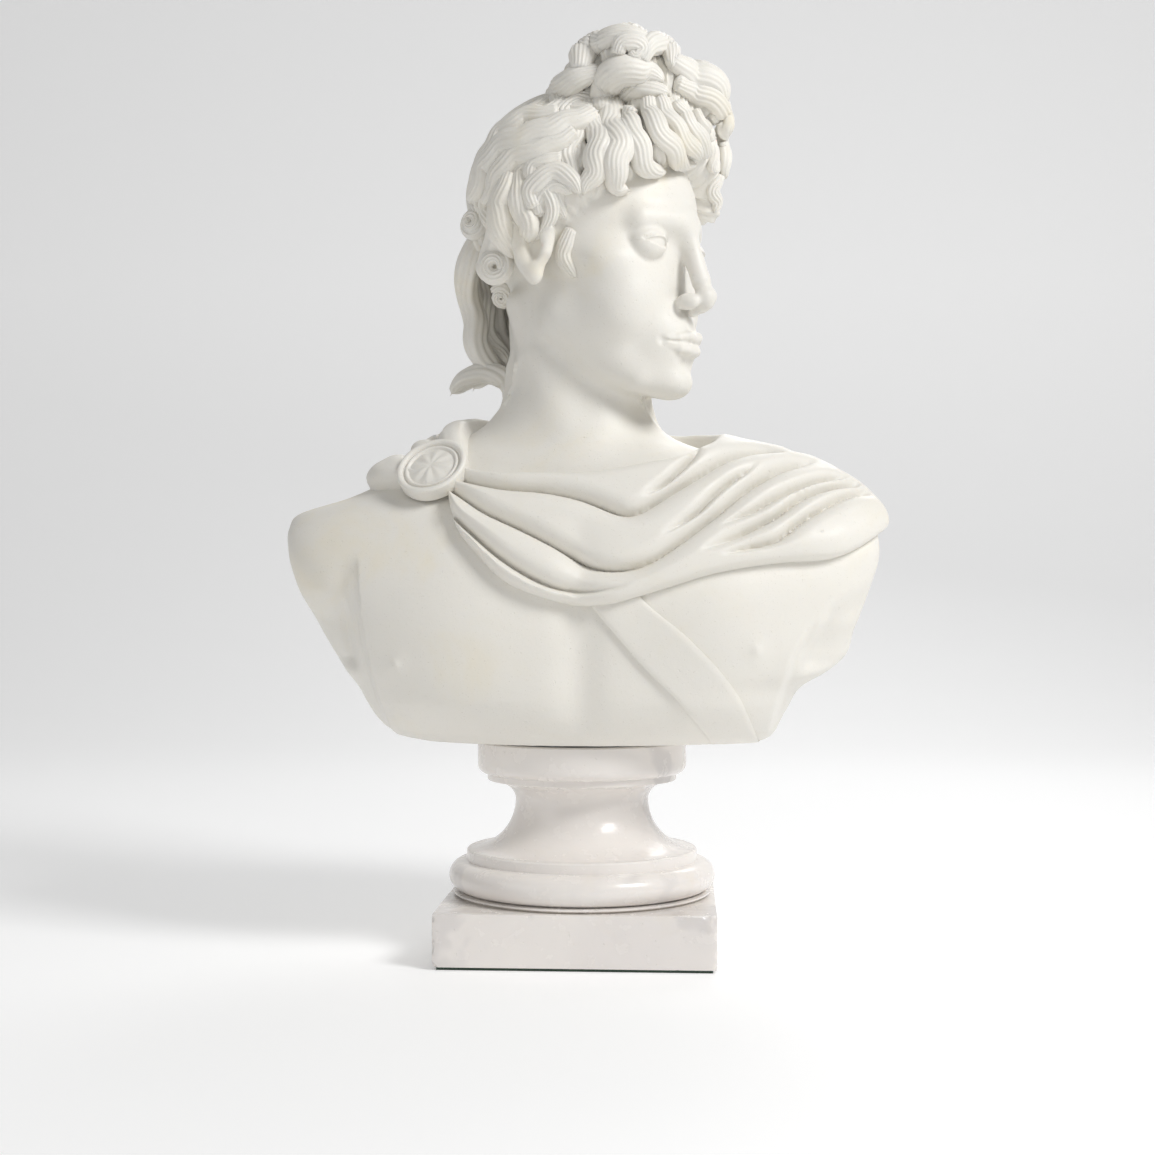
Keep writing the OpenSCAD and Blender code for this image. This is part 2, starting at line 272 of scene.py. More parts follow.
def torso(p, hollowed=True):
    x, y, z = p.T
    left = curve(z, TORSO[:, 0], TORSO[:, 1])
    right = curve(z, TORSO[:, 0], TORSO[:, 2])
    front = (read_map(FRONT, x, z) - y) / read_map(FRONT_STEEP, x, z)
    back = (y - read_map(BACK, x, z)) / read_map(BACK_STEEP, x, z)
    d = keep(keep(front, back, 6), keep(left - x, x - right, 1) * 0.85, 4)
    d = keep(d, z - 436, 4)
    if not hollowed:
        return d
    plain = (read_map(PLAIN_FRONT, x, z) - y) / read_map(PLAIN_STEEP, x, z)
    inner = np.where(x < 0, x - left, right - x) - SIDE_WALL
    tooth = 0.7 * np.sin(0.55 * x + 1.3 * np.sin(0.11 * z)) * np.sin(0.42 * z + 0.9 * np.sin(0.13 * x))
    hollow = keep(SUPPORT / 2 - np.abs(x), -inner, 8)
    hollow = keep(keep(hollow, z - HOLLOW_TOP, 14), plain + WALL + 14 * smooth(205, 160, z) + tooth, 10)
    hollow = keep(hollow, y - 200)
    return cut(d, hollow, 3)


def neck(p):
    x, y, z = p.T
    half = curve(z, (320, 380, 410, 440, 480, 540), (58, 55.5, 53.5, 52, 53, 56))
    q = np.hypot((x + 4.5) / half, (y - 14) / (half * 1.07))
    d = (q - 1) * half
    d = join(d, stick(p, (-42, -20, 486), (-3, -37, 372), 14, 10), 12)
    d = join(d, stick(p, (42, 0, 486), (8, -37, 372), 13, 10), 12)
    return keep(d, z - 500, 10)


def form(p):
    """Chest and neck without the hollow: what the cloak and the strap lie on."""
    return join(torso(p, False), neck(p), NECK_BLEND)


# ---------------------------------------------------------------- head, in its own frame
HEAD_AT = np.array((2.0, -4.0, 526.0), np.float32)
HEAD_TURN = math.radians(62)
HEAD_NOD = math.radians(3)


def turn_matrix():
    c, s = math.cos(HEAD_TURN), math.sin(HEAD_TURN)
    cn, sn = math.cos(HEAD_NOD), math.sin(HEAD_NOD)
    spin = np.array(((c, -s, 0), (s, c, 0), (0, 0, 1)))
    nod = np.array(((1, 0, 0), (0, cn, -sn), (0, sn, cn)))
    return (spin @ nod).astype(np.float32)


TURN = turn_matrix()


def to_head(p):
    return (p - HEAD_AT) @ TURN


def from_head(p):
    return np.asarray(p, np.float32) @ TURN.T + HEAD_AT


def skull(q):
    """Cranium, brow, cheeks and jaw; q has both sides folded onto +X."""
    d = egg(q, (0, 6, 32), (69, 80, 76))
    d = join(d, egg(q, (0, -22, 30), (61, 66, 54)), 18)
    d = join(d, egg(q, (0, -26, -28), (58, 59, 74)), 20)
    d = join(d, egg(q, (33, -54, -42), (24, 25, 30)), 18)
    d = join(d, egg(q, (43, -47, -13), (19, 19, 12)), 16)
    d = join(d, stick(q, (42, -10, -54), (19, -64, -95), 12, 12), 22)
    d = join(d, egg(q, (0, -40, -86), (36, 42, 19)), 14)
    d = join(d, egg(q, (0, -79, -98), (18, 17, 13)), 12)
    d = join(d, stick(q, (11, -84.5, 17.5), (39, -71, 17), 8, 7.5), 11)
    return join(d, egg(q, (0, -74, -67), (28, 23, 25)), 14)


def nose(d, q):
    d = join(d, worm(q, ((0, -87, 22, 7.5), (0, -92, 2, 6.6), (0, -102, -24, 7.2)), 2), 10)
    d = join(d, ball(q, (0, -106.5, -35.5), 8), 5)
    d = join(d, egg(q, (9.6, -96.5, -40), (5.3, 9, 6.1)), 5)
    d = join(d, stick(q, (0, -108, -41.5), (0, -97, -46), 3, 4), 4)
    d = cut(d, egg(q, (5.6, -101, -47.6), (2.9, 5.6, 3.6)), 1.5)
    return cut(d, worm(q, ((17.6, -94, -33, 0.8), (18.6, -90, -40, 1.0), (16, -90, -47, 0.8))), 4)


def eye(d, q):
    d = cut(d, egg(q, (31, -98, 1), (19, 15, 11)), 11)
    e = q - np.array((31, -72, -0.5), np.float32)
    d = join(d, egg(e, (0, 0, 0), (13.8, 12.6, 11)), 1)
    across = e[:, 0] / 13.4
    arch = np.maximum(1 - across * across, 0)
    upper = 4.7 * arch ** 0.75 + 0.5 * across
    lower = -3.6 * arch ** 0.9 + 0.5 * across
    gap = np.minimum(upper - e[:, 2], e[:, 2] - lower)
    upper_lid = egg(e, (0, -0.2, 0.5), (15.8, 14.6, 12.8))
    lower_lid = egg(e, (0, 0.2, -0.2), (15.4, 13.6, 12))
    lid = keep(np.where(e[:, 2] > 0.5 * (upper + lower), upper_lid, lower_lid), gap, 0.5)
    d = join(d, lid, 3.6)
    return cut(d, worm(q, ((18, -80, 3, 0.6), (23, -86.5, 7, 0.9), (31, -88, 8.6, 1), (39, -84.5, 6.6, 0.9),
                           (45, -78, 1.5, 0.6))), 2.6)


def mouth(d, q):
    d = join(d, worm(q, ((23, -85.5, -69.2, 1.5), (14, -92.8, -67, 3.1), (6, -97.4, -64.8, 3.9),
                         (0, -97.8, -65.8, 3.4)), 1), 2.8)
    d = join(d, worm(q, ((21, -86, -71, 1.5), (12, -93, -74, 4.1), (5, -95.6, -75.2, 5),
                         (0, -95.6, -75.2, 4.9)), 1), 2.8)
    d = cut(d, worm(q, ((25, -86, -69.6, 0.6), (14, -96.5, -69.9, 0.9), (6, -101.4, -69.1, 1),
                        (0, -101.8, -70, 1))), 1.4)
    d = cut(d, ball(q, (26, -86.5, -69.8), 2), 4)
    d = cut(d, egg(q, (0, -100.5, -86), (14, 7, 4.5)), 8)
    return cut(d, stick(q, (0, -104, -51), (0, -103.4, -59), 2.4, 2.8), 3)


def ear(d, q):
    """One ear, leaning back; its bowl is cut before the rim is laid round it."""
    lean = math.radians(12)
    c, s = math.cos(lean), math.sin(lean)
    e = q - np.array((69, -4, -4), np.float32)
    e = np.stack((e[:, 0], c * e[:, 1] + s * e[:, 2], -s * e[:, 1] + c * e[:, 2]), 1)
    shell = egg(e, (3, 3, 2), (9, 16, 26))
    shell = cut(shell, egg(e, (11, 0, -2), (8, 8, 11.5)), 4)
    shell = join(shell, egg(e, (3.5, -4, -23), (4.6, 5.6, 6.5)), 7)
    rim = worm(e, ((5, -6, 4, 2.4), (8, -10, 14, 2.8), (9, -3, 27, 3.0), (10, 9, 26, 3.0), (11, 17, 14, 2.9),
                   (10, 16, -2, 2.6), (7, 9, -15, 2.6), (5, 0, -22, 2.8)), 1)
    inner = worm(e, ((6, 2, 14, 1.8), (8, 9, 8, 2.2), (8, 9, -4, 2.2), (6, 4, -12, 2.4)), 1)
    flap = ball(e, (4, -9, -4), 3.2)
    return join(join(d, shell, 6), join(join(rim, inner, 1.5), flap, 2), 3.5)


def hair_cap(q):
    """The mass of hair that the locks lie on: the skull's cap and the roll along the hairline."""
    d = egg(q, (0, 6, 40), (76, 82, 79))
    line = np.maximum((q[:, 2] + 0.95 * q[:, 1] + 10) * 0.72, q[:, 2] - 62)      # the hairline
    line = np.minimum(line, q[:, 2] + 40)
    d = keep(d, -line, 5)
    temple = ((66, -10, 36, 13), (68, 10, 26, 13), (66, 30, 6, 12), (58, 46, -16, 11))
    roll = ((0, -80, 84, 17), (32, -72, 72, 17), (54, -52, 54, 14), (66, -26, 32, 10), (70, -6, 12, 8))
    return join(join(d, worm(q, temple, 3), 8), worm(q, roll, 3), 10)


def top_knot(q):
    """The loops of the bow of hair above the forehead and the tie between them."""
    d = egg(q, (-27, -46, 141), (21, 21, 23))
    d = join(d, egg(q, (21, -80, 121), (19, 20, 25)), 5)
    d = join(d, egg(q, (-33, -16, 126), (18, 18, 16)), 5)
    d = join(d, egg(q, (28, -48, 132), (20, 20, 22)), 6)
    d = join(d, egg(q, (0, -62, 98), (36, 26, 24)), 8)
    d = join(d, worm(q, ((44, -76, 74, 18), (52, -74, 44, 14)), 2), 8)
    return join(d, egg(q, (-4, -62, 124), (22, 22, 22)), 8)


def strands(q):
    """Grooves that spread over the hair from the bow."""
    away = np.hypot(q[:, 0], q[:, 1] + 48)
    turn = np.arctan2(q[:, 0], q[:, 1] + 48)
    bend = 0.10 * np.sin(away / 8.5 + 2 * np.sin(2 * turn)) + 0.05 * np.sin(q[:, 2] / 6)
    return 0.9 * np.sin(46 * (turn + bend)) + 0.5 * np.sin(23 * (turn + bend) + 1)


def scalp(p):
    q = to_head(p)
    side = np.stack((np.abs(q[:, 0]), q[:, 1], q[:, 2]), 1)
    return join(join(hair_cap(side), top_knot(q), 8), skull(side), 3)


def head(p):
    q = to_head(p)
    side = np.stack((np.abs(q[:, 0]), q[:, 1], q[:, 2]), 1)
    d = mouth(eye(nose(skull(side), side), side), side)
    d = ear(d, side)
    return join(d, join(hair_cap(side), top_knot(q), 8) + strands(q), 1.5)


def body(p):
    """The whole nude block: torso, neck and head."""
    d = join(torso(p), neck(p), NECK_BLEND)
    high = p[:, 2] > 395
    if high.any():
        d[high] = join(d[high], head(p[high]), 9)
    return d


# ---------------------------------------------------------------- from fields to meshes
def in_parts(field, p, size=200000):
    return np.concatenate([field(p[k:k + size].astype(np.float32)) for k in range(0, len(p), size)])


def slope(field, p, step=0.25):
    g = np.empty_like(p)
    for k in range(3):
        off = np.zeros(3, np.float32)
        off[k] = step
        g[:, k] = in_parts(field, p + off) - in_parts(field, p - off)
    return g / (2 * step)


def settle(field, p, rounds=2, level=0.0, most=3.0):
    """Moves points along the field's slope until they lie on its surface."""
    p = p.astype(np.float32)
    for _ in range(rounds):
        g = slope(field, p)
        d = in_parts(field, p) - level
        move = d[:, None] * g / np.maximum((g * g).sum(1, keepdims=True), 0.05)
        far = np.linalg.norm(move, axis=1, keepdims=True)
        p = p - move * np.minimum(1, most / np.maximum(far, 1e-6))
    return p


def sample(field, low, high, step, block=4):
    """Field values on a grid, worked out finely only near the surface."""
    low = np.asarray(low, np.float32)
    counts = np.ceil((np.asarray(high) - low) / (step * block)).astype(int)
    index = np.stack(np.meshgrid(*[np.arange(n) for n in counts], indexing="ij"), -1).reshape(-1, 3)
    rough = in_parts(field, low + (index + 0.5) * block * step - 0.5 * step)
    values = np.repeat(rough, block ** 3).reshape(-1, block, block, block).astype(np.float32)
    grid = rough.reshape(counts)
    near = np.abs(grid) < block * step * 1.9
    for axis in range(3):
        side = np.moveaxis(grid, axis, 0) < 0
        mark = np.moveaxis(near, axis, 0)
        change = side[1:] != side[:-1]
        mark[1:] |= change
        mark[:-1] |= change
    near = near.reshape(-1)
    cell = np.stack(np.meshgrid(*[np.arange(block)] * 3, indexing="ij"), -1).reshape(-1, 3)
    fine = (index[near][:, None, :] * block + cell[None]).reshape(-1, 3)
    values[near] = in_parts(field, low + fine * step).reshape(-1, block, block, block)
    values = values.reshape(*counts, block, block, block).transpose(0, 3, 1, 4, 2, 5)
    return values.reshape(*(counts * block))


def fill_diagonals(v):
    """Fills grid corners until no two filled ones touch only across a square's diagonal."""
    for _ in range(8):
        found = 0
        for axis in range(3):
            w = np.moveaxis(v, axis, 0)
            a, b, c, d = w[:, :-1, :-1], w[:, 1:, 1:], w[:, :-1, 1:], w[:, 1:, :-1]
            for one, two, three, four in ((a, b, c, d), (c, d, a, b)):
                open_ = (one < 0) & (two < 0) & (three >= 0) & (four >= 0)
                found += int(open_.sum())
                three[open_] = -0.02
        if not found:
            break


def skin(field, low, high, step):
    """Vertices and quads where the field is zero: one vertex in each cell that the surface crosses."""
    v = sample(field, low, high, step)
    fill_diagonals(v)
    inside = v < 0
    corners = [(a, b, c) for a in (0, 1) for b in (0, 1) for c in (0, 1)]
    size = np.array(v.shape) - 1

    def corner(array, at):
        return array[at[0]:at[0] + size[0], at[1]:at[1] + size[1], at[2]:at[2] + size[2]]

    total = sum(corner(inside, c).astype(np.int8) for c in corners)
    cells = np.argwhere((total > 0) & (total < 8))
    number = np.full(size, -1, np.int64)
    number[tuple(cells.T)] = np.arange(len(cells))
    place = np.zeros((len(cells), 3), np.float64)
    count = np.zeros(len(cells))
    for c in corners:
        for axis in range(3):
            if c[axis]:
                continue
            other = np.array(c)
            other[axis] = 1
            one = v[tuple((cells + c).T)]
            two = v[tuple((cells + other).T)]
            crossed = (one < 0) != (two < 0)
            t = np.where(crossed, one / np.where(crossed, one - two, 1), 0)
            spot = np.array(c, float)[None].repeat(len(cells), 0)
            spot[:, axis] += t
            place += spot * crossed[:, None]
            count += crossed
    points = np.asarray(low) + (cells + place / count[:, None]) * step
    quads = []
    for axis in range(3):
        one, two = (axis + 1) % 3, (axis + 2) % 3
        cut_end = [slice(None)] * 3
        cut_end[axis] = slice(0, -1)
        cut_start = [slice(None)] * 3
        cut_start[axis] = slice(1, None)
        a = inside[tuple(cut_end)]
        b = inside[tuple(cut_start)]
        edges = np.argwhere(a != b)
        edges = edges[(edges[:, one] > 0) & (edges[:, two] > 0)]
        edges = edges[(edges[:, one] < size[one]) & (edges[:, two] < size[two])]
        start = a[tuple(edges.T)]
        ring = []
        for d1, d2 in ((1, 1), (0, 1), (0, 0), (1, 0)):
            at = edges.copy()
            at[:, one] -= d1
            at[:, two] -= d2
            ring.append(number[tuple(at.T)])
        ring = np.stack(ring, 1)
        quads.append(np.where(start[:, None], ring, ring[:, ::-1]))
    return points, np.vstack(quads)


def make_mesh(name, points, faces, smooth_angle=None):
    """A piece from points in millimetres; its object sits at the origin."""
    mesh = bpy.data.meshes.new(name)
    if isinstance(faces, np.ndarray):
        faces = faces.tolist()
    mesh.from_pydata((np.asarray(points, float) * M).tolist(), [], faces)
    mesh.validate()
    piece = bpy.data.objects.new(name, mesh)
    bpy.context.scene.collection.objects.link(piece)
    mesh.polygons.foreach_set("use_smooth", [True] * len(mesh.polygons))
    if smooth_angle:
        only(piece)
        bpy.ops.object.shade_smooth_by_angle(angle=math.radians(smooth_angle))
    return piece


def carve(name, field, low, high, step, smooth_angle=50):
    points, quads = skin(field, low, high, step)
    return make_mesh(name, settle(field, points), quads, smooth_angle)


def only(piece):
    """Makes the piece the one selected object."""
    bpy.ops.object.select_all(action="DESELECT")
    piece.select_set(True)
    bpy.context.view_layer.objects.active = piece


def refine(piece, field, where):
    """Splits the faces whose middle is inside where() and lays the new points on the field's surface."""
    mesh = piece.data
    middles = np.empty(len(mesh.polygons) * 3)
    mesh.polygons.foreach_get("center", middles)
    inside = where(middles.reshape(-1, 3) / M)
    only(piece)
    bpy.ops.object.mode_set(mode="EDIT")
    bpy.ops.mesh.select_mode(type="FACE")
    bpy.ops.mesh.select_all(action="DESELECT")
    bpy.ops.object.mode_set(mode="OBJECT")
    mesh.polygons.foreach_set("select", inside)
    bpy.ops.object.mode_set(mode="EDIT")
    bpy.ops.mesh.subdivide(number_cuts=1)
    bpy.ops.object.mode_set(mode="OBJECT")
    points = np.empty(len(mesh.vertices) * 3)
    mesh.vertices.foreach_get("co", points)
    points = settle(field, points.reshape(-1, 3) / M, 2, 0, 1.5)
    mesh.vertices.foreach_set("co", (points.astype(float) * M).ravel())
    mesh.polygons.foreach_set("use_smooth", [True] * len(mesh.polygons))
    mesh.update()


def in_face(p):
    q = to_head(p)
    return (q[:, 1] < -38) & (q[:, 2] < 56) & (q[:, 2] > -108)


def in_features(p):
    q = to_head(p)
    x = np.abs(q[:, 0])
    eyes = (x > 10) & (x < 52) & (np.abs(q[:, 2] - 2) < 15)
    low = (x < 30) & (q[:, 2] < -22) & (q[:, 2] > -84)
    return in_face(p) & (eyes | low)


# ---------------------------------------------------------------- sweeping along a line
def frames(spine, outward):
    """Along, across and outward directions at each point of a spine."""
    along = unit(np.gradient(spine, axis=0))
    across = unit(np.cross(along, outward))
    return along, across, np.cross(across, along)


def ring_faces(rings, sides):
    """Quads of a tube, with a fan of triangles on the extra point at each end."""
    a = np.arange(rings - 1)[:, None] * sides
    j = np.arange(sides)[None, :]
    k = (j + 1) % sides
    quads = np.stack((a + j, a + k, a + sides + k, a + sides + j), -1).reshape(-1, 4).tolist()
    start, end = rings * sides, rings * sides + 1
    last = (rings - 1) * sides
    caps = [(start, (i + 1) % sides, i) for i in range(sides)]
    caps += [(end, last + i, last + (i + 1) % sides) for i in range(sides)]
    return quads + caps


TOP_SIDES = 34        # points across a lock's fluted top
UNDER_SIDES = 8


def lock_section():
    """Angles round a lock's section: many across the top, few underneath."""
    top = np.linspace(0, math.pi, TOP_SIDES, endpoint=False)
    under = np.linspace(math.pi, 2 * math.pi, UNDER_SIDES, endpoint=False)
    return np.concatenate((top, under))


def round_off(t, full):
    """1 as far as full, then down to 0 at 1 like a quarter circle."""
    return np.sqrt(np.maximum(1 - np.clip((t - full) / (1 - full), 0, 1) ** 2, 0))


def sweep_lock(spine, outward, width, strands=4, depth=1.1, root=0.7, tip=0.12, plump=0.4, seed_at=0.0):
    """A lock of hair: a flattened tube with strands cut along its top."""
    along, across, out = frames(spine, outward)
    t = np.linspace(0, 1, len(spine))[:, None]
    taper = root + (1 - root) * smooth(0, 0.3, t)
    taper = taper * (tip + (1 - tip) * round_off(t, 0.5))
    angle = lock_section()[None, :]
    wide = 0.5 * width * taper
    high = width * plump * (0.45 + 0.55 * taper)
    side = np.cos(angle)
    lift = np.where(angle < math.pi, np.sin(angle) ** 0.8, 0.45 * np.sin(angle))
    wave = np.cos(math.pi * strands * side + seed_at + 1.2 * np.sin(5 * t + seed_at))
    on_top = np.maximum(np.sin(angle), 0) ** 0.4
    groove = depth * (0.5 - 0.5 * wave) ** 1.5 * on_top * (0.4 + 0.6 * taper)
    grow = 1 - groove / high
    p = spine[:, None, :] + across[:, None, :] * (wide * side * (0.55 + 0.45 * grow))[..., None]
    p = p + out[:, None, :] * (high * lift * grow)[..., None]
    ends = np.stack((spine[0] - along[0] * width * 0.1, spine[-1] + along[-1] * width * 0.12))
    return np.vstack((p.reshape(-1, 3), ends)), ring_faces(len(spine), TOP_SIDES + UNDER_SIDES)


def sweep_hank(spine, outward, width, strands=9, depth=1.1, root=0.8, tip=0.35, full=0.55, seed_at=0.0):
    """A lock that hangs free: a round tube with strands cut all round it, slightly twisted."""
    sides = 6 * strands
    along, across, out = frames(spine, outward)
    t = np.linspace(0, 1, len(spine))[:, None]
    taper = root + (1 - root) * smooth(0, 0.3, t)
    taper = taper * (tip + (1 - tip) * round_off(t, full))
    angle = np.linspace(0, 2 * math.pi, sides, endpoint=False)[None, :]
    wave = 0.5 - 0.5 * np.cos(strands * (angle + 1.2 * t) + seed_at)
    broad = 0.5 - 0.5 * np.cos(3 * (angle + 1.2 * t) + 2 * seed_at)
    radius = taper * (0.5 * width - depth * wave ** 1.5 - 0.09 * width * broad)
    p = spine[:, None, :] + across[:, None, :] * (radius * np.cos(angle))[..., None]
    p = p + out[:, None, :] * (0.8 * radius * np.sin(angle))[..., None]
    ends = np.stack((spine[0] - along[0] * width * 0.1, spine[-1] + along[-1] * width * 0.12))
    return np.vstack((p.reshape(-1, 3), ends)), ring_faces(len(spine), sides)


def land(points, field, level, depth=0.0):
    """Where sight lines through points (x, z) of the plane y = depth meet a surface, or pass it nearest."""
    points = np.asarray(points, float)
    at = np.stack((points[:, 0], np.zeros(len(points)) + depth, points[:, 1]), 1)
    aim = unit(at - EYE)
    near = np.linalg.norm(at - EYE, axis=1) - 170
    best = np.full(len(at), 1e9)
    place = near.copy()
    run = near.copy()
    done = np.zeros(len(at), bool)
    for _ in range(90):
        d = field((EYE + aim * run[:, None]).astype(np.float32)) - level
        better = (d < best) & ~done
        best = np.where(better, d, best)
        place = np.where(better, run, place)
        done |= d < 0.05
        run = np.where(done, run, np.minimum(run + np.maximum(0.75 * d, 0.4), near + 420))
        if done.all():
            break
    return EYE + aim * place[:, None]


def even(line):
    """Takes the jumps out of a landed line, end points kept."""
    p = line.copy()
    for _ in range(6):
        p[1:-1] = 0.5 * p[1:-1] + 0.25 * (p[:-2] + p[2:])
    return p


def outward_at(field, p):
    return unit(slope(field, p.astype(np.float32), 1.5)).astype(float)


def mirrored(p):
    """The same places on the other side of the head."""
    q = to_head(p.astype(np.float32)).astype(float)
    q[:, 0] *= -1
    return from_head(q).astype(float)


def gather(parts):
    """Joins (points, faces) shells into one."""
    points, faces, base = [], [], 0
    for p, f in parts:
        points.append(p)
        faces += [tuple(i + base for i in face) for face in f]
        base += len(p)
    return np.vstack(points), faces


def flipped(shell):
    """A mirrored shell's faces, turned to point outwards again."""
    return shell[0], [tuple(reversed(f)) for f in shell[1]]


# Locks that the front shows: width, height above the scalp, strands, then the line they follow as (x, z)
CROWN = (
    (19, 6, 4, ((8, 635), (-15, 626), (-36, 618), (-57, 612), (-70, 600), (-76, 584), (-82, 569))),
    (16, 5, 3, ((-18, 636), (-44, 632), (-61, 620), (-73, 600), (-78, 582), (-80, 567))),
    (16, 6, 3, ((-6, 622), (-23, 612), (-44, 607), (-58, 598), (-65, 584), (-73, 568))),
    (13, 5, 3, ((-15, 602), (-28, 600), (-36, 594), (-40, 585))))
SIDE = (
    (16, 5, 4, ((-54, 590), (-59, 575), (-63, 561), (-61, 545), (-53, 529))),
    (13, 4, 3, ((-46, 591), (-48, 576), (-46, 562), (-39, 551), (-45, 538))),
    (13, 5, 3, ((-36, 565), (-39, 577), (-30, 587), (-17, 591), (-6, 585), (-2, 575))),
    (11, 3, 3, ((-32, 560), (-33, 572), (-25, 580), (-15, 582), (-7, 576))),
    (10, 0, 3, ((-8, 548), (-12, 538), (-13, 527), (-8, 516), (-3, 511))))
BROW = (
    (10, 3, 2, ((-8, 623), (-17, 613), (-20, 602), (-15, 592))),
    (12, 3, 3, ((1, 634), (-7, 617), (-11, 602), (-6, 589), (-1, 577))),
    (15, 4, 4, ((8, 632), (14, 615), (12, 601), (7, 587), (1, 576))),
    (16, 4, 4, ((27, 645), (22, 634), (27, 620), (30, 609), (25, 595), (26, 583), (35, 576))),
    (13, 4, 3, ((39, 641), (36, 630), (42, 616), (45, 605), (51, 594), (62, 590))),
    (12, 3, 3, ((51, 647), (55, 630), (66, 614), (76, 599), (86, 596))),
    (11, 3, 3, ((60, 648), (68, 631), (79, 616), (90, 602))),
    (10, 2, 3, ((71, 644), (82, 629), (91, 615), (97, 603))),
    (9, 2, 2, ((87, 637), (95, 622), (101, 606), (98, 595), (103, 591))),
    (10, 1, 2, ((100, 637), (107, 624), (107, 609), (110, 597), (108, 586))),
    (8, 1, 2, ((106, 588), (101, 577), (103, 568), (100, 560))))
BOW = (
    (18, 4, 4, ((16, 637), (17, 654), (24, 667), (37, 670), (51, 667), (62, 659))),
    (13, 3, 3, ((29, 649), (39, 655), (52, 655), (66, 650))),
    (16, 2, 4, ((-17, 640), (-17, 653), (-8, 662), (6, 668), (17, 672))),
    (12, 2, 3, ((-18, 645), (-8, 640), (8, 638), (15, 643))),
    (16, 2, 4, ((-1, 671), (2, 683), (9, 690), (19, 692))),
    (12, 2, 3, ((11, 691), (23, 696), (36, 697), (47, 693), (52, 687))),
    (11, 5, 3, ((28, 683), (31, 691), (40, 692), (46, 686), (40, 681), (37, 686))),
    (13, 4, 3, ((45, 678), (52, 689), (62, 690), (68, 682), (69, 671))),
    (16, 2, 4, ((69, 676), (83, 666), (95, 663), (105, 656), (107, 644))),
    (13, 2, 3, ((72, 660), (85, 653), (98, 649), (107, 638), (110, 627), (107, 618))))


def front_lock(entry, wave, mirror=False):
    """A lock that the front shows, from one row of a table above."""
    width, lift, strands, path = entry
    flat = through(path, 60)
    side = unit(np.gradient(flat, axis=0))[:, ::-1] * (1, -1)
    t = np.linspace(0, length(flat), 60)[:, None]
    flat = flat + side * wave * width * np.sin(t / 3.8 + 2.1 * width) * smooth(0, 12, t)
    line = spaced(even(land(flat, scalp, lift - 1)))
    if mirror:
        line = mirrored(line)
    return sweep_lock(line, outward_at(scalp, line), 1.38 * width, strands + 2, depth=0.8, plump=0.44,
                      tip=0.05, seed_at=width * 1.7 + strands)


def length(line):
    """How long a line of points is."""
    return np.linalg.norm(np.diff(line, axis=0), axis=1).sum()


def spaced(line):
    """The same line with its points a ring's gap apart."""
    return through(line, max(10, int(length(line) / RING_GAP)))


def over_cap(turn, reach, wave, phase, lift):
    """A wavy line from the bow over the cap towards the nape; turn is 0 at the back and 90 at an ear."""
    t = np.linspace(0, 1, 46)
    down = np.radians(18 + (reach - 18) * t)
    round_ = math.radians(turn) + wave * np.sin(2 * math.pi * (2.6 * t + phase)) * smooth(0, 0.25, t)
    q = np.stack((np.sin(down) * np.sin(round_) * 80, 2 + np.sin(down) * np.cos(round_) * 86 - 14 * (1 - t),
                  40 + np.cos(down) * 83), 1)
    return even(settle(scalp, from_head(q), 3, lift, 12).astype(float))


def back_hair():
    """Two layers of waved locks that cover the crown and the back of the head."""
    shells = []
    for k in range(19):
        turn = -108 + 216 * k / 18
        line = spaced(over_cap(turn, 122 - 14 * abs(math.sin(math.radians(turn))), 0.07, 0.37 * k, 0.5))
        shells.append(sweep_lock(line, outward_at(scalp, line), 21, 5, depth=1.0, seed_at=0.8 * k, plump=0.3))
    for k in range(12):
        turn = -96 + 192 * k / 11 + dice.uniform(-3, 3)
        line = spaced(over_cap(turn, 116, 0.11, dice.uniform(0, 1), 3.2))
        shells.append(sweep_lock(line, outward_at(scalp, line), dice.uniform(12, 16), 4, seed_at=1.3 * k))
    return shells


# The first hanging lock and its end, as x, y, z; the others are turned about the neck from it
NAPE = ((-70, 14, 566), (-82, 18, 545), (-89, 22, 522), (-90, 26, 500), (-86, 28, 480), (-84, 27, 464),
        (-74, 23, 446), (-66, 20, 436))
NAPE_END = ((-54, 16, 424), (-60, 20, 434), (-76, 22, 440), (-92, 23, 436), (-101, 24, 429), (-104, 24, 425))
NECK_AT = np.array((-4.5, 14.0, 0.0))


def about_neck(points, turn, near=1.0):
    """Points turned about the neck's axis and drawn towards it."""
    p = (np.asarray(points, float) - NECK_AT) * (near, near, 1)
    c, s = math.cos(math.radians(turn)), math.sin(math.radians(turn))
    return np.stack((c * p[:, 0] - s * p[:, 1], s * p[:, 0] + c * p[:, 1], p[:, 2]), 1) + NECK_AT


def nape_lock(turn, near, drop, sway, width, seed_at):
    """One waved lock that hangs free behind the neck."""
    line = through(about_neck(NAPE, turn, near), 50)
    t = np.linspace(0, 1, 50)[:, None]
    line[:, 2:] += drop * t
    away = unit((line - NECK_AT) * (1, 1, 0))
    beside = np.cross(away, (0, 0, 1.0))
    bend = 2 * math.pi * (2.4 * t + 0.31 * seed_at)
    line = line + smooth(0, 0.3, t) * (sway * np.sin(bend) * beside + 0.35 * sway * np.cos(bend) * away)
    line = spaced(line)
    return sweep_hank(line, unit((line - NECK_AT) * (1, 1, 0)), width, 9, depth=1.3, root=0.6, full=0.75,
                      seed_at=seed_at)


def nape_end(turn, near, drop, seed_at):
    """The end of a lock, turned out and back on itself."""
    line = spaced(through(about_neck(NAPE_END, turn, near), 40) + (0, 0, drop))
    along = unit(np.gradient(line, axis=0))
    away = unit(np.cross(along, (0, 0, 1.0)))
    return sweep_hank(line, np.cross(away, along), 24, 9, root=0.75, tip=0.05, full=0.6, seed_at=seed_at)


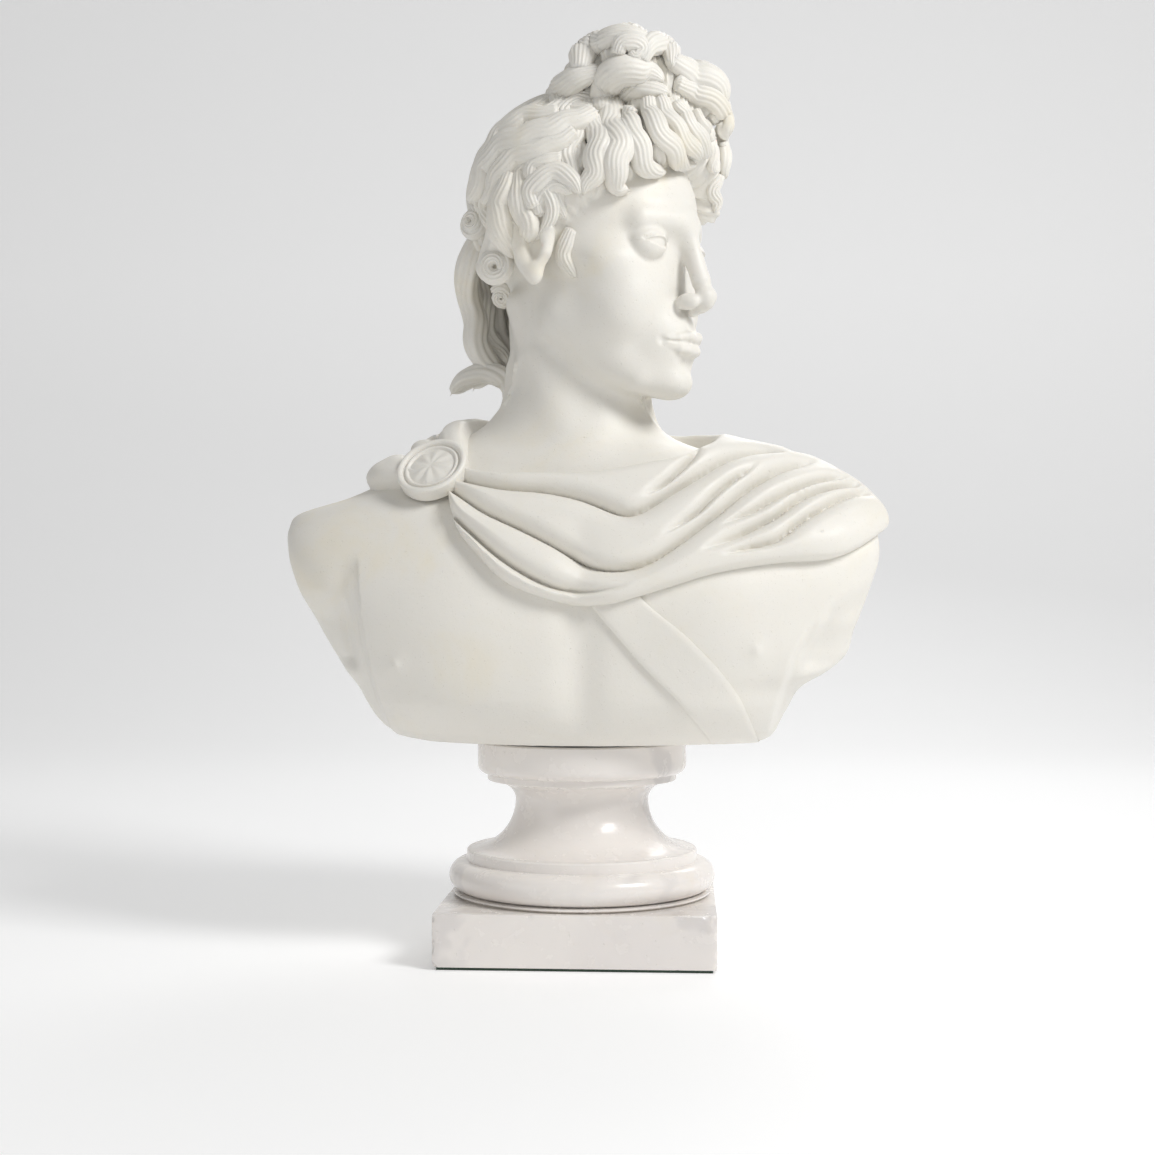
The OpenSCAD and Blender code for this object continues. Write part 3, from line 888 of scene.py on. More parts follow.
def nape_hair():
    """Locks that hang free behind the neck, each with its end turned out, and thinner ones between them."""
    shells = []
    for k, turn in enumerate((0, -21, -43, -66, -87)):
        drop = (0, 8, -3, 6, 14)[k]
        shells.append(nape_lock(turn, 1 - 0.05 * k, drop, 3.4, 27, k))
        shells.append(nape_end(turn, 1 - 0.04 * k, drop, 2 * k))
    for k, turn in enumerate((-11, -33, -55, -77)):
        shells.append(nape_lock(turn, 0.94 - 0.05 * k, 12 + 5 * (k % 2), 5.0, 19, k + 0.5))
    return shells


def curl(centre, axis, outer, core, turns, rise, eye_size):
    """A curl wound to its middle, seen along its axis."""
    axis = unit(np.asarray(axis, float))
    side = unit(np.cross(axis, (0, 0, 1.0)))
    up = np.cross(side, axis)
    t = np.linspace(0, 1, 60)
    radius = outer - core + (eye_size + core - outer) * t
    angle = 2 * math.pi * turns * t + 0.6
    line = np.asarray(centre, float) + side * (radius * np.cos(angle))[:, None]
    line = line + up * (radius * np.sin(angle))[:, None] + axis * (rise * t)[:, None]
    line = spaced(line)
    toward = np.repeat(axis[None], len(line), 0)
    return sweep_lock(line, toward, 2 * core, 4, depth=1.0, plump=0.55, root=0.9, tip=0.4)


# Where each curl's middle is seen (x, z), the way it faces, its outer and tube sizes, turns, rise and the
# radius that it ends at
CURLS = (
    ((-81, 552), (-0.45, -0.88, 0.1), 15, 5.8, 2.1, 8, 2.0),
    ((-66, 519), (-0.25, -0.96, 0.05), 16, 6.2, 1.5, 4, 5.4),
    ((-61, 497), (-0.2, -0.8, -0.5), 12, 5.6, 1.4, 2, 2.0))


def curls():
    shells = []
    for seen, axis, *shape in CURLS:
        centre = land((seen,), scalp, 3)[0]
        one = curl(centre, axis, *shape)
        shells += [one, flipped((mirrored(one[0]), one[1]))]
    return shells


# ---------------------------------------------------------------- cloak
# The cloak runs round the neck from the brooch. In front each row is the top edge's x, z and the hem's x, z
# as they look from the viewpoint; over the arm and the back each row is both edges' x, y, z.
CLOAK_FRONT = (
    (-88, 352, -93, 350), (-65, 348, -86, 317), (-40, 347, -72, 297), (-15, 347, -48, 274),
    (10, 348, -9, 260), (32, 351, 25, 259), (55, 356, 60, 269), (75, 361, 103, 282), (88, 366, 145, 289),
    (97, 370, 187, 293))
CLOAK_BACK = (
    (100, -14, 374, 207, -55, 302), (97, 5, 377, 214, -28, 313), (89, 26, 381, 216, 4, 319),
    (76, 46, 386, 211, 36, 317), (58, 62, 391, 194, 60, 315), (38, 73, 396, 162, 80, 315),
    (12, 79, 401, 110, 98, 316), (-14, 78, 402, 50, 106, 316), (-42, 70, 401, -10, 106, 317),
    (-62, 52, 399, -64, 100, 318), (-76, 30, 396, -108, 80, 323), (-84, 5, 391, -140, 54, 333),
    (-86, -20, 385, -157, 22, 345), (-85, -42, 377, -160, -12, 347), (-84, -58, 368, -150, -44, 344),
    (-86, -70, 358, -106, -70, 353))
FRONT_DEPTH = -88.0   # the plane that the x, z of the cloak and the strap are given on
CLOAK_THIN = 3.0      # thickness at the bottom of a fold
CLOAK_FULL = 12.5     # added to it where there is no fold
CLOAK_BITE = 7.0      # how deep its underside is sunk into the body
CLOAK_UNDER = 8       # points across the underside
# Folds: depth, half width, how each end fades, then the line as (x, z) seen from the viewpoint
FRONT_FOLDS = (
    (1.0, 13, 0, 0.1, ((-86, 345), (-53, 338), (-21, 336), (8, 330), (27, 322), (40, 318), (55, 326),
                       (75, 338), (93, 349), (110, 357), (132, 360), (152, 356))),
    (0.7, 8, 0.4, 0.3, ((43, 326), (61, 337), (75, 349), (90, 362))),
    (1.0, 14, 0, 0.1, ((-90, 338), (-66, 323), (-45, 313), (-24, 303), (-6, 293), (8, 285), (22, 281),
                       (40, 282), (56, 287), (82, 305), (100, 319), (117, 333), (135, 345), (154, 352),
                       (175, 351))),
    (0.75, 8, 0.4, 0.3, ((57, 298), (82, 316), (96, 329), (112, 342), (131, 352))),
    (1.0, 12, 0, 0.5, ((-97, 334), (-84, 317), (-69, 303), (-52, 289), (-30, 276), (-9, 268), (19, 267),
                       (40, 271), (58, 282))),
    (0.9, 10, 0.3, 0.05, ((84, 289), (118, 305), (139, 316), (160, 330), (182, 337), (200, 338))),
    (0.8, 9, 0.3, 0.05, ((93, 286), (121, 295), (143, 301), (155, 310), (171, 321), (193, 331), (212, 332))),
    (0.8, 9, 0.4, 0.2, ((92, 303), (118, 317), (146, 332), (175, 342), (196, 341))))
BACK_FOLDS = (
    (0.9, 16, 0.2, 0.2, ((-128, 40, 360), (-90, 85, 352), (-20, 100, 340), (60, 95, 346), (130, 60, 356))),
    (0.8, 14, 0.2, 0.2, ((-110, 60, 345), (-50, 98, 330), (20, 104, 324), (90, 95, 330), (150, 60, 342))),
    (0.8, 14, 0.2, 0.2, ((-90, 40, 380), (-50, 75, 374), (10, 88, 366), (70, 75, 374), (110, 45, 382))),
    (0.8, 12, 0.1, 0.3, ((-100, -70, 352), (-122, -40, 362), (-128, 0, 366), (-118, 40, 360))),
    (0.7, 10, 0.1, 0.3, ((-96, -66, 360), (-104, -40, 374), (-104, 0, 382), (-92, 36, 380))),
    (0.8, 12, 0.2, 0.2, ((150, -30, 360), (168, 5, 362), (172, 40, 350), (150, 80, 328))),
    (0.8, 12, 0.2, 0.2, ((186, -30, 346), (198, 0, 350), (198, 35, 340), (180, 66, 322))),
    (0.7, 10, 0.2, 0.3, ((118, -20, 372), (132, 10, 374), (132, 45, 362), (110, 75, 345))))


def cloth_depth(x):
    """Depth that the cloak's x, z are given at: the chest in front, nearer the middle towards the arm."""
    return FRONT_DEPTH + 56 * smooth(60, 215, x)


def collar_depth(x):
    """The same for the cloak's top edge."""
    return -82 + 60 * smooth(30, 104, x)


def to_polyline(p, line):
    """Distance from each point to a line, and how far along it the nearest place is, from 0 to 1."""
    best = np.full(len(p), 1e9)
    share = np.zeros(len(p))
    toward = np.zeros((len(p), 3))
    run = np.concatenate(((0,), np.cumsum(np.linalg.norm(np.diff(line, axis=0), axis=1))))
    for k in range(len(line) - 1):
        a, b = line[k], line[k + 1]
        t = np.clip((p - a) @ (b - a) / ((b - a) @ (b - a)), 0, 1)
        away = p - a - t[:, None] * (b - a)
        d = np.linalg.norm(away, axis=1)
        near = d < best
        toward[near] = away[near]
        best = np.where(near, d, best)
        share = np.where(near, (run[k] + t * (run[k + 1] - run[k])) / run[-1], share)
    return best, share, toward


def pillow(t):
    """A rounded rise from 0 at t = 0 to 1 at t = 1."""
    return np.sqrt(np.maximum(1 - (1 - np.clip(t, 0, 1)) ** 2, 0))


def fold_depth(p, down, line, depth, half, fade_in, fade_out):
    """Depth of a fold, steep on its upper side; down points from the top edge to the hem."""
    away, share, toward = to_polyline(p, line)
    lean = (toward * down).sum(1) / (np.linalg.norm(toward, axis=1) * np.linalg.norm(down, axis=1) + 0.1)
    half = half * (0.975 + 0.175 * np.clip(2 * lean, -1, 1))
    strength = np.ones(len(p)) * depth
    if fade_in:
        strength *= smooth(0, fade_in, share)
    if fade_out:
        strength *= smooth(1, 1 - fade_out, share)
    return strength * (1 - pillow(np.maximum(away - 0.8, 0) / half))


def cloak_lines():
    """The top edge and the hem as closed lines of points on the body."""
    front = np.array(CLOAK_FRONT, float)
    back = np.array(CLOAK_BACK, float)
    front_top = land(front[:, 0:2], form, 0, collar_depth(front[:, 0]))
    front_hem = land(front[:, 2:4], form, 0, cloth_depth(front[:, 2]))
    top = np.vstack((front_top, settle(form, back[:, 0:3], 4, 0, 15)))
    hem = np.vstack((front_hem, settle(form, back[:, 3:6], 4, 0, 15)))
    marks = np.arange(len(top) + 1)
    at = np.linspace(0, len(top), CLOAK_ROUND, endpoint=False)

    def ring(points):
        loop = through(points, 4000, closed=True)
        where = [np.argmin(np.linalg.norm(loop - p, axis=1)) for p in points[1:]]
        index = np.interp(at, marks, [0] + where + [4000])
        whole = index.astype(int)
        part = (index - whole)[:, None]
        return loop[whole % 4000] * (1 - part) + loop[(whole + 1) % 4000] * part

    return ring(top), ring(hem)


def cloak():
    top, hem = cloak_lines()
    v = np.linspace(0, 1, CLOAK_ACROSS)
    flat = top[:, None, :] * (1 - v[None, :, None]) + hem[:, None, :] * v[None, :, None]
    p = settle(form, flat.reshape(-1, 3), 5, 0, 14).astype(float)
    dent = np.zeros(len(p))
    down = np.repeat(hem - top, CLOAK_ACROSS, axis=0)
    for depth, half, fade_in, fade_out, line in FRONT_FOLDS:
        flat = through(line, 60)
        spine = land(flat, form, 0, cloth_depth(flat[:, 0]))
        spine = even(spine[form(spine.astype(np.float32)) < 1])
        dent = np.maximum(dent, fold_depth(p, down, spine, depth, half, fade_in, fade_out))
    for depth, half, fade_in, fade_out, line in BACK_FOLDS:
        spine = settle(form, through(line, 40), 4, 0, 20).astype(float)
        dent = np.maximum(dent, fold_depth(p, down, spine, depth, half, fade_in, fade_out))
    grid = p.reshape(CLOAK_ROUND, CLOAK_ACROSS, 3)
    span = np.linalg.norm(np.diff(grid, axis=1), axis=2)
    run = np.concatenate((np.zeros((CLOAK_ROUND, 1)), np.cumsum(span, axis=1)), axis=1)
    from_top, from_hem = run, run[:, -1:] - run
    dent = dent.reshape(CLOAK_ROUND, CLOAK_ACROSS)
    dent = np.maximum(dent, 0.5 * (1 - pillow(from_top / 9)))
    dent = np.maximum(dent, 0.8 * (1 - pillow(from_hem / 16)))
    high = CLOAK_THIN + CLOAK_FULL * (1 - dent) * (1 - 0.4 * smooth(20, 75, grid[..., 1]))
    out = outward_at(form, p).reshape(grid.shape)
    for _ in range(12):
        above = np.concatenate((out[:, :1], out[:, :-1]), axis=1)
        below = np.concatenate((out[:, 1:], out[:, -1:]), axis=1)
        out = unit(out + np.roll(out, 1, 0) + np.roll(out, -1, 0) + (above + below))
    surface = grid + out * high[..., None]
    under = np.linspace(0, CLOAK_ACROSS - 1, CLOAK_UNDER).astype(int)
    below = (grid - out * CLOAK_BITE)[:, under]
    rows = np.concatenate((below[:, :1], surface, below[:, ::-1][:, :-1]), axis=1)
    count = rows.shape[1]
    i = np.arange(CLOAK_ROUND)[:, None]
    j = np.arange(count)[None, :]
    i2, j2 = (i + 1) % CLOAK_ROUND, (j + 1) % count
    faces = np.stack((i * count + j, i * count + j2, i2 * count + j2, i2 * count + j), -1).reshape(-1, 4)
    return make_mesh("cloak", rows.reshape(-1, 3), faces, 60)


STRAP_LEFT = ((-5, 280), (13, 257), (47, 217), (75, 189), (100, 159))
STRAP_RIGHT = ((35, 280), (51, 260), (82, 234), (113, 199), (132, 159))


def strap():
    """The flat baldric that comes out from under the cloak."""
    rows, across = 90, 17
    left = land(through(STRAP_LEFT, rows), form, 0, FRONT_DEPTH)
    right = land(through(STRAP_RIGHT, rows), form, 0, FRONT_DEPTH)
    v = np.linspace(0, 1, across)
    flat = left[:, None, :] * (1 - v[None, :, None]) + right[:, None, :] * v[None, :, None]
    p = settle(form, flat.reshape(-1, 3), 4, 0, 6).astype(float)
    p[:, 2] = np.maximum(p[:, 2], SEAT + 0.4)
    out = outward_at(form, p)
    p = p.reshape(rows, across, 3)
    out = out.reshape(rows, across, 3)
    height = 3.1 - 0.8 * (np.abs(2 * v - 1) > 0.93)
    top = p + out * height[None, :, None]
    section = np.concatenate((p[:, :1] - out[:, :1] * 4, top, p[:, -1:] - out[:, -1:] * 4), axis=1)
    section[..., 2] = np.maximum(section[..., 2], SEAT + 0.6)
    count = across + 2
    i = np.arange(rows - 1)[:, None]
    j = np.arange(count)[None, :]
    j2 = (j + 1) % count
    quads = np.stack((i * count + j, (i + 1) * count + j, (i + 1) * count + j2, i * count + j2), -1)
    faces = quads.reshape(-1, 4).tolist()
    faces += [tuple(range(count)), tuple(reversed(range((rows - 1) * count, rows * count)))]
    return make_mesh("strap", section.reshape(-1, 3), faces, 30)


# ---------------------------------------------------------------- turned and square work
def turned(name, profile, steps=160, smooth_angle=35):
    """A closed outline of (radius, height) in millimetres spun about the Z axis."""
    mesh = bpy.data.meshes.new(name)
    points = [(r * M, 0, z * M) for r, z in profile]
    mesh.from_pydata(points, [(k, (k + 1) % len(points)) for k in range(len(points))], [])
    piece = bpy.data.objects.new(name, mesh)
    bpy.context.scene.collection.objects.link(piece)
    only(piece)
    bpy.ops.object.mode_set(mode="EDIT")
    bpy.ops.mesh.select_all(action="SELECT")
    bpy.ops.mesh.spin(steps=steps, angle=2 * math.pi, center=(0, 0, 0), axis=(0, 0, 1))
    bpy.ops.mesh.select_all(action="SELECT")
    bpy.ops.mesh.remove_doubles(threshold=0.00001)
    bpy.ops.mesh.normals_make_consistent(inside=False)
    bpy.ops.object.mode_set(mode="OBJECT")
    bpy.ops.object.shade_smooth_by_angle(angle=math.radians(smooth_angle))
    return piece


def arc(cx, cz, rx, rz, start, end, count=10):
    """Points of an arc in (radius, height), angles in degrees from the outward direction."""
    a = np.radians(np.linspace(start, end, count))
    return [(cx + rx * math.cos(t), cz + rz * math.sin(t)) for t in a]


def node_box(name):
    low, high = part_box(name)
    return [v / M for v in low], [v / M for v in high]


ROD_HOLE = 7.0


def socle():
    """The turned foot: torus, scotia and moulded cap, bored for the rod."""
    low, high = node_box("socle")
    z = low[2]
    top = high[2]
    line = [(ROD_HOLE, z), (96.5, z), (97.8, z + 0.9), (97.8, z + 2.2)]
    line += arc(89.5, z + 13.8, 11.6, 11.2, -88, 88, 22)
    line += [(88.0, z + 25.4), (87.6, z + 32.2), (86.8, z + 33.2), (85.4, z + 33.6)]
    line += arc(87.2, z + 70.5, 36.6, 37, 268, 180, 18)
    line += arc(71.2, z + 70.5, 20.6, 14.6, 180, 94, 12)
    line += [(71.5, z + 85.4), (72, z + 86), (72, z + 90)]
    line += arc(72.2, z + 97.4, 7.2, 7.2, -88, -4, 8)
    line += [(79.5, z + 98.6), (79.5, top - 1.2), (78.7, top - 0.3), (77.6, top), (ROD_HOLE, top)]
    return turned("turned_socle", line, 192)


def plinth():
    """The square block with worn edges, a few chips and the recess for the nut underneath."""
    low, high = node_box("plinth")
    half = np.array((high[0], high[1], (high[2] - low[2]) / 2))
    middle = np.array((0, 0, (high[2] + low[2]) / 2))
    chips = np.random.default_rng(5)
    spots = []
    for _ in range(46):
        corner = chips.choice((-1, 1), 3) * half + middle
        axis = chips.integers(0, 3)
        corner[axis] = middle[axis] + chips.uniform(-1, 1) * half[axis]
        spots.append((corner, chips.uniform(0.8, 2.2)))
    spots += [(middle + half * (1, -1, 1), 4.6), (middle + half * (0.93, -1.01, 1), 3.4),
              (middle + half * (0.99, -1, 0.7), 3), (middle + half * (-1, -1, -0.96), 3)]

    def block(p):
        away = np.abs(p - middle) - (half - 1.1)
        d = np.linalg.norm(np.maximum(away, 0), axis=1) + np.minimum(away.max(1), 0) - 1.1
        for spot, radius in spots:
            near = np.abs(p - spot).max(1) < radius + 9
            if near.any():
                grain = 0.5 * np.sin(p[near] @ (1.9, 1.3, 2.3))
                d[near] = cut(d[near], ball(p[near], spot, radius) + grain, 0.8)
        round_ = np.hypot(p[:, 0], p[:, 1])
        d = cut(d, keep(round_ - 29, p[:, 2] - 22))
        return cut(d, round_ - ROD_HOLE)

    return carve("square_plinth", block, low - np.full(3, 3.03), high + np.full(3, 5), BLOCK_STEP, 30)


def brooch():
    """The round pin on the right shoulder: a moulded rim, a ring and a worn rosette."""
    profile = [(0.01, -9), (25.5, -9), (26.5, -7), (26.5, -1.5)] + arc(24.6, 1, 2.3, 2.2, -20, 150, 8)
    profile += [(21.8, 0.4), (20.6, 0.6)] + arc(19.4, 0.9, 1.1, 1.0, 10, 170, 6)
    profile += [(17.4, 0.2), (15.5, 0.9), (8, 2.6), (0.01, 3)]
    piece = turned("brooch", profile, 96, 40)
    mesh = piece.data
    points = np.empty(len(mesh.vertices) * 3)
    mesh.vertices.foreach_get("co", points)
    points = points.reshape(-1, 3) / M
    radius = np.hypot(points[:, 0], points[:, 1])
    angle = np.arctan2(points[:, 1], points[:, 0])
    face = points[:, 2] > -0.5
    outer = 0.9 * np.cos(8 * angle) * hill(radius, 11, 4)
    inner = 0.6 * np.cos(5 * angle + 1) * hill(radius, 5, 2.6)
    points[:, 2] += face * (outer + inner)
    return piece, points


def place_brooch():
    """Turns the brooch to face up and outward and sets it on the shoulder."""
    piece, points = brooch()
    at = land(np.array(((-103.0, 358.0),)), body, 12, FRONT_DEPTH)[0]
    axis = unit(np.array((-0.22, -0.72, 0.62)))
    side = unit(np.cross((0, 0, 1.0), axis))
    up = np.cross(axis, side)
    turned_points = at + points[:, :1] * side + points[:, 1:2] * up + points[:, 2:] * axis
    piece.data.vertices.foreach_set("co", (turned_points * M).ravel())
    piece.data.update()
    return piece


def main():
    chest = carve("chest", lower, (-230, -130, 150), (235, 118, 425), BROAD)
    face = carve("head_and_neck", upper, (-112, -125, 325), (112, 118, 705), FINE)
    refine(face, upper, in_face)
    refine(face, upper, in_features)
    groups = {"crown_locks": (CROWN, 0.08), "side_locks": (SIDE, 0.04), "brow_locks": (BROW, 0.11),
              "top_knot": (BOW, 0.03)}
    out = [chest, face]
    for name, (entries, wave) in groups.items():
        shells = [front_lock(e, wave) for e in entries]
        if name == "side_locks":
            shells += [flipped(front_lock(e, wave, True)) for e in entries]
        out.append(make_mesh(name, *gather(shells)))
    out.append(make_mesh("back_locks", *gather(back_hair())))
    out.append(make_mesh("nape_locks", *gather(nape_hair())))
    out.append(make_mesh("curls", *gather(curls())))
    return out + [cloak(), strap(), place_brooch()]


CUT_LOW = 349         # height of the seam between chest and head at y = 0, hidden by the cloak
CUT_TILT = 0.30       # how much it rises with y
CUT_SIDES = (-89, 106)    # how far the head's piece reaches on each side


def seam(p):
    """Less than 0 where the stone belongs to the head's piece."""
    x, y, z = p.T
    return keep(CUT_LOW + CUT_TILT * y - z, keep(CUT_SIDES[0] - x, x - CUT_SIDES[1]))


def upper(p):
    """The stone of the head's piece."""
    return keep(body(p), seam(p))


def socket(p):
    """The hole drilled up from the seat for the rod and its sleeve."""
    return keep(np.hypot(p[:, 0], p[:, 1]) - SLEEVE_R, p[:, 2] - SLEEVE_TOP)


def lower(p):
    """The stone of the chest's piece, cut flat at the seat and drilled."""
    d = keep(join(torso(p), neck(p), NECK_BLEND), -seam(p))
    return cut(keep(d, SEAT - p[:, 2], 1), socket(p))


# ---------------------------------------------------------------- finishes
class Finish:
    """A material whose nodes are added one at a time; patterns read Object coordinates in metres."""

    def __init__(self, name, colour, roughness):
        self.look = bpy.data.materials.new(name)
        self.look.use_nodes = True
        self.tree = self.look.node_tree
        self.shader = self.tree.nodes["Principled BSDF"]
        self.shader.inputs["Base Color"].default_value = (*colour, 1)
        self.shader.inputs["Roughness"].default_value = roughness
        self.place = self.add("ShaderNodeTexCoord").outputs["Object"]
        self.colour = None
        self.bump = None

    def add(self, kind, **values):
        node = self.tree.nodes.new(kind)
        for key, value in values.items():
            setattr(node, key, value)
        return node

    def link(self, one, two):
        self.tree.links.new(one, two)

    def noise(self, scale, detail=4, rough=0.55, warp=0.0):
        node = self.add("ShaderNodeTexNoise")
        self.link(self.place, node.inputs["Vector"])
        node.inputs["Scale"].default_value = scale
        node.inputs["Detail"].default_value = detail
        node.inputs["Roughness"].default_value = rough
        node.inputs["Distortion"].default_value = warp
        return node.outputs["Fac"]

    def step(self, value, low, high, out_low=0.0, out_high=1.0):
        node = self.add("ShaderNodeMapRange", interpolation_type="SMOOTHSTEP")
        self.link(value, node.inputs["Value"])
        node.inputs["From Min"].default_value = low
        node.inputs["From Max"].default_value = high
        node.inputs["To Min"].default_value = out_low
        node.inputs["To Max"].default_value = out_high
        return node.outputs["Result"]

    def tint(self, amount, colour):
        """Lays a colour over what is there, by an amount that a pattern gives."""
        node = self.add("ShaderNodeMix", data_type="RGBA")
        self.link(amount, node.inputs["Factor"])
        if self.colour is None:
            node.inputs["A"].default_value = self.shader.inputs["Base Color"].default_value
        else:
            self.link(self.colour, node.inputs["A"])
        node.inputs["B"].default_value = (*colour, 1)
        self.colour = node.outputs["Result"]
        self.link(self.colour, self.shader.inputs["Base Color"])

    def dent(self, height, distance, strength=1.0, invert=False):
        node = self.add("ShaderNodeBump", invert=invert)
        self.link(height, node.inputs["Height"])
        node.inputs["Distance"].default_value = distance
        node.inputs["Strength"].default_value = strength
        if self.bump is not None:
            self.link(self.bump, node.inputs["Normal"])
        self.bump = node.outputs["Normal"]
        self.link(self.bump, self.shader.inputs["Normal"])

    def gloss(self, value):
        self.link(value, self.shader.inputs["Roughness"])


def statuary_marble():
    """Carved white stone, hand rubbed but not polished, warm in patches and grey where it has weathered."""
    f = Finish("statuary_marble", (0.80, 0.775, 0.715), 0.5)
    f.tint(f.step(f.noise(5, 3), 0.35, 0.75), (0.76, 0.74, 0.69))
    f.tint(f.step(f.noise(9, 5, 0.6, 0.8), 0.52, 0.78, 0, 0.75), (0.79, 0.735, 0.60))
    f.tint(f.step(f.noise(14, 6, 0.65), 0.6, 0.82, 0, 0.5), (0.63, 0.63, 0.62))
    f.tint(f.step(f.noise(900, 2), 0.66, 0.72, 0, 0.35), (0.5, 0.46, 0.38))
    f.gloss(f.step(f.noise(60, 5), 0.3, 0.7, 0.42, 0.6))
    f.shader.inputs["Subsurface Weight"].default_value = 0.14
    f.shader.inputs["Subsurface Radius"].default_value = (1.0, 0.85, 0.65)
    f.shader.inputs["Subsurface Scale"].default_value = 0.003
    f.dent(f.noise(1500, 3), 0.00012, 0.5)
    f.dent(f.noise(160, 5, 0.6), 0.0006, 0.35)
    f.dent(f.step(f.noise(420, 1), 0.73, 0.78), 0.0006, 0.6, True)
    return f.look


def veined_marble():
    """Polished white stone with soft grey and rosy veins."""
    f = Finish("veined_marble", (0.84, 0.80, 0.76), 0.2)
    f.tint(f.step(f.noise(7, 4, 0.5, 0.5), 0.4, 0.7), (0.79, 0.75, 0.72))
    wave = f.add("ShaderNodeTexWave", wave_type="BANDS", bands_direction="DIAGONAL")
    f.link(f.place, wave.inputs["Vector"])
    wave.inputs["Scale"].default_value = 2.1
    wave.inputs["Distortion"].default_value = 9
    wave.inputs["Detail"].default_value = 5
    wave.inputs["Detail Scale"].default_value = 1.6
    wave.inputs["Detail Roughness"].default_value = 0.62
    f.tint(f.step(wave.outputs["Fac"], 0.9, 1.0, 0, 0.34), (0.52, 0.50, 0.50))
    f.tint(f.step(f.noise(12, 8, 0.62, 1.2), 0.55, 0.85, 0, 0.35), (0.60, 0.57, 0.55))
    f.tint(f.step(f.noise(11, 4, 0.6, 0.3), 0.58, 0.8, 0, 0.45), (0.80, 0.70, 0.56))
    f.gloss(f.step(f.noise(70, 5), 0.3, 0.75, 0.14, 0.32))
    f.shader.inputs["Subsurface Weight"].default_value = 0.1
    f.shader.inputs["Subsurface Radius"].default_value = (1.0, 0.85, 0.65)
    f.shader.inputs["Subsurface Scale"].default_value = 0.003
    f.dent(f.noise(220, 4), 0.00025, 0.3)
    f.dent(f.step(f.noise(380, 1), 0.74, 0.78), 0.0005, 0.6, True)
    return f.look


def plain_finish(name, colour, dark, roughness, metal=0.0, scale=120.0, depth=0.0002):
    """A finish with a mottle of a second colour, uneven gloss and a fine grain."""
    f = Finish(name, colour, roughness)
    f.shader.inputs["Metallic"].default_value = metal
    f.tint(f.step(f.noise(scale, 5, 0.6), 0.4, 0.75), dark)
    f.gloss(f.step(f.noise(scale * 1.7, 4), 0.3, 0.7, roughness * 0.8, min(1, roughness * 1.25)))
    f.dent(f.noise(scale * 6, 3), depth, 0.5)
    return f


# Name, colour, mottle's colour, roughness and how metallic it is
PLAIN = (
    ("stainless_steel", (0.62, 0.62, 0.61), (0.5, 0.5, 0.5), 0.28, 1.0),
    ("lead_sheet", (0.27, 0.28, 0.30), (0.4, 0.41, 0.42), 0.55, 0.8),
    ("brass_dowel", (0.62, 0.45, 0.18), (0.42, 0.29, 0.12), 0.35, 1.0),
    ("black_rubber", (0.02, 0.02, 0.02), (0.04, 0.04, 0.04), 0.7, 0.0))


def finishes():
    """Every material by its name."""
    sleeve = plain_finish("stone_resin", (0.68, 0.62, 0.48), (0.6, 0.52, 0.38), 0.35)
    sleeve.shader.inputs["Subsurface Weight"].default_value = 0.2
    sleeve.shader.inputs["Subsurface Scale"].default_value = 0.002
    # Painted shade: the felt's green is darkened almost to black so that the pads under the plinth read as
    # the shadow line beneath it. Part felt colour, part painted shadow.
    felt = plain_finish("green_felt", (0.05, 0.085, 0.06), (0.03, 0.055, 0.04), 0.95, scale=700, depth=0.0008)
    felt.shader.inputs["Sheen Weight"].default_value = 0.4
    mortar = plain_finish("lime_mortar", (0.70, 0.66, 0.58), (0.56, 0.52, 0.46), 0.9, depth=0.001)
    out = {row[0]: plain_finish(*row).look for row in PLAIN}
    out |= {"stone_resin": sleeve.look, "green_felt": felt.look, "lime_mortar": mortar.look}
    return out | {"statuary_marble": statuary_marble(), "veined_marble": veined_marble()}


# ---------------------------------------------------------------- camera, light and floor
def camera():
    data = bpy.data.cameras.new("camera")
    data.lens = LENS
    data.sensor_width = 36
    item = bpy.data.objects.new("camera", data)
    item.location = EYE * M
    item.rotation_euler = Vector((AIM - EYE).tolist()).to_track_quat("-Z", "Y").to_euler()
    bpy.context.scene.collection.objects.link(item)
    bpy.context.scene.camera = item


def area_light(name, place, size, power, colour=(1, 1, 1)):
    data = bpy.data.lights.new(name, "AREA")
    data.size = size
    data.energy = power
    data.color = colour
    item = bpy.data.objects.new(name, data)
    item.location = place
    aim = Vector((0, 0, 0.4)) - Vector(place)
    item.rotation_euler = aim.to_track_quat("-Z", "Y").to_euler()
    bpy.context.scene.collection.objects.link(item)


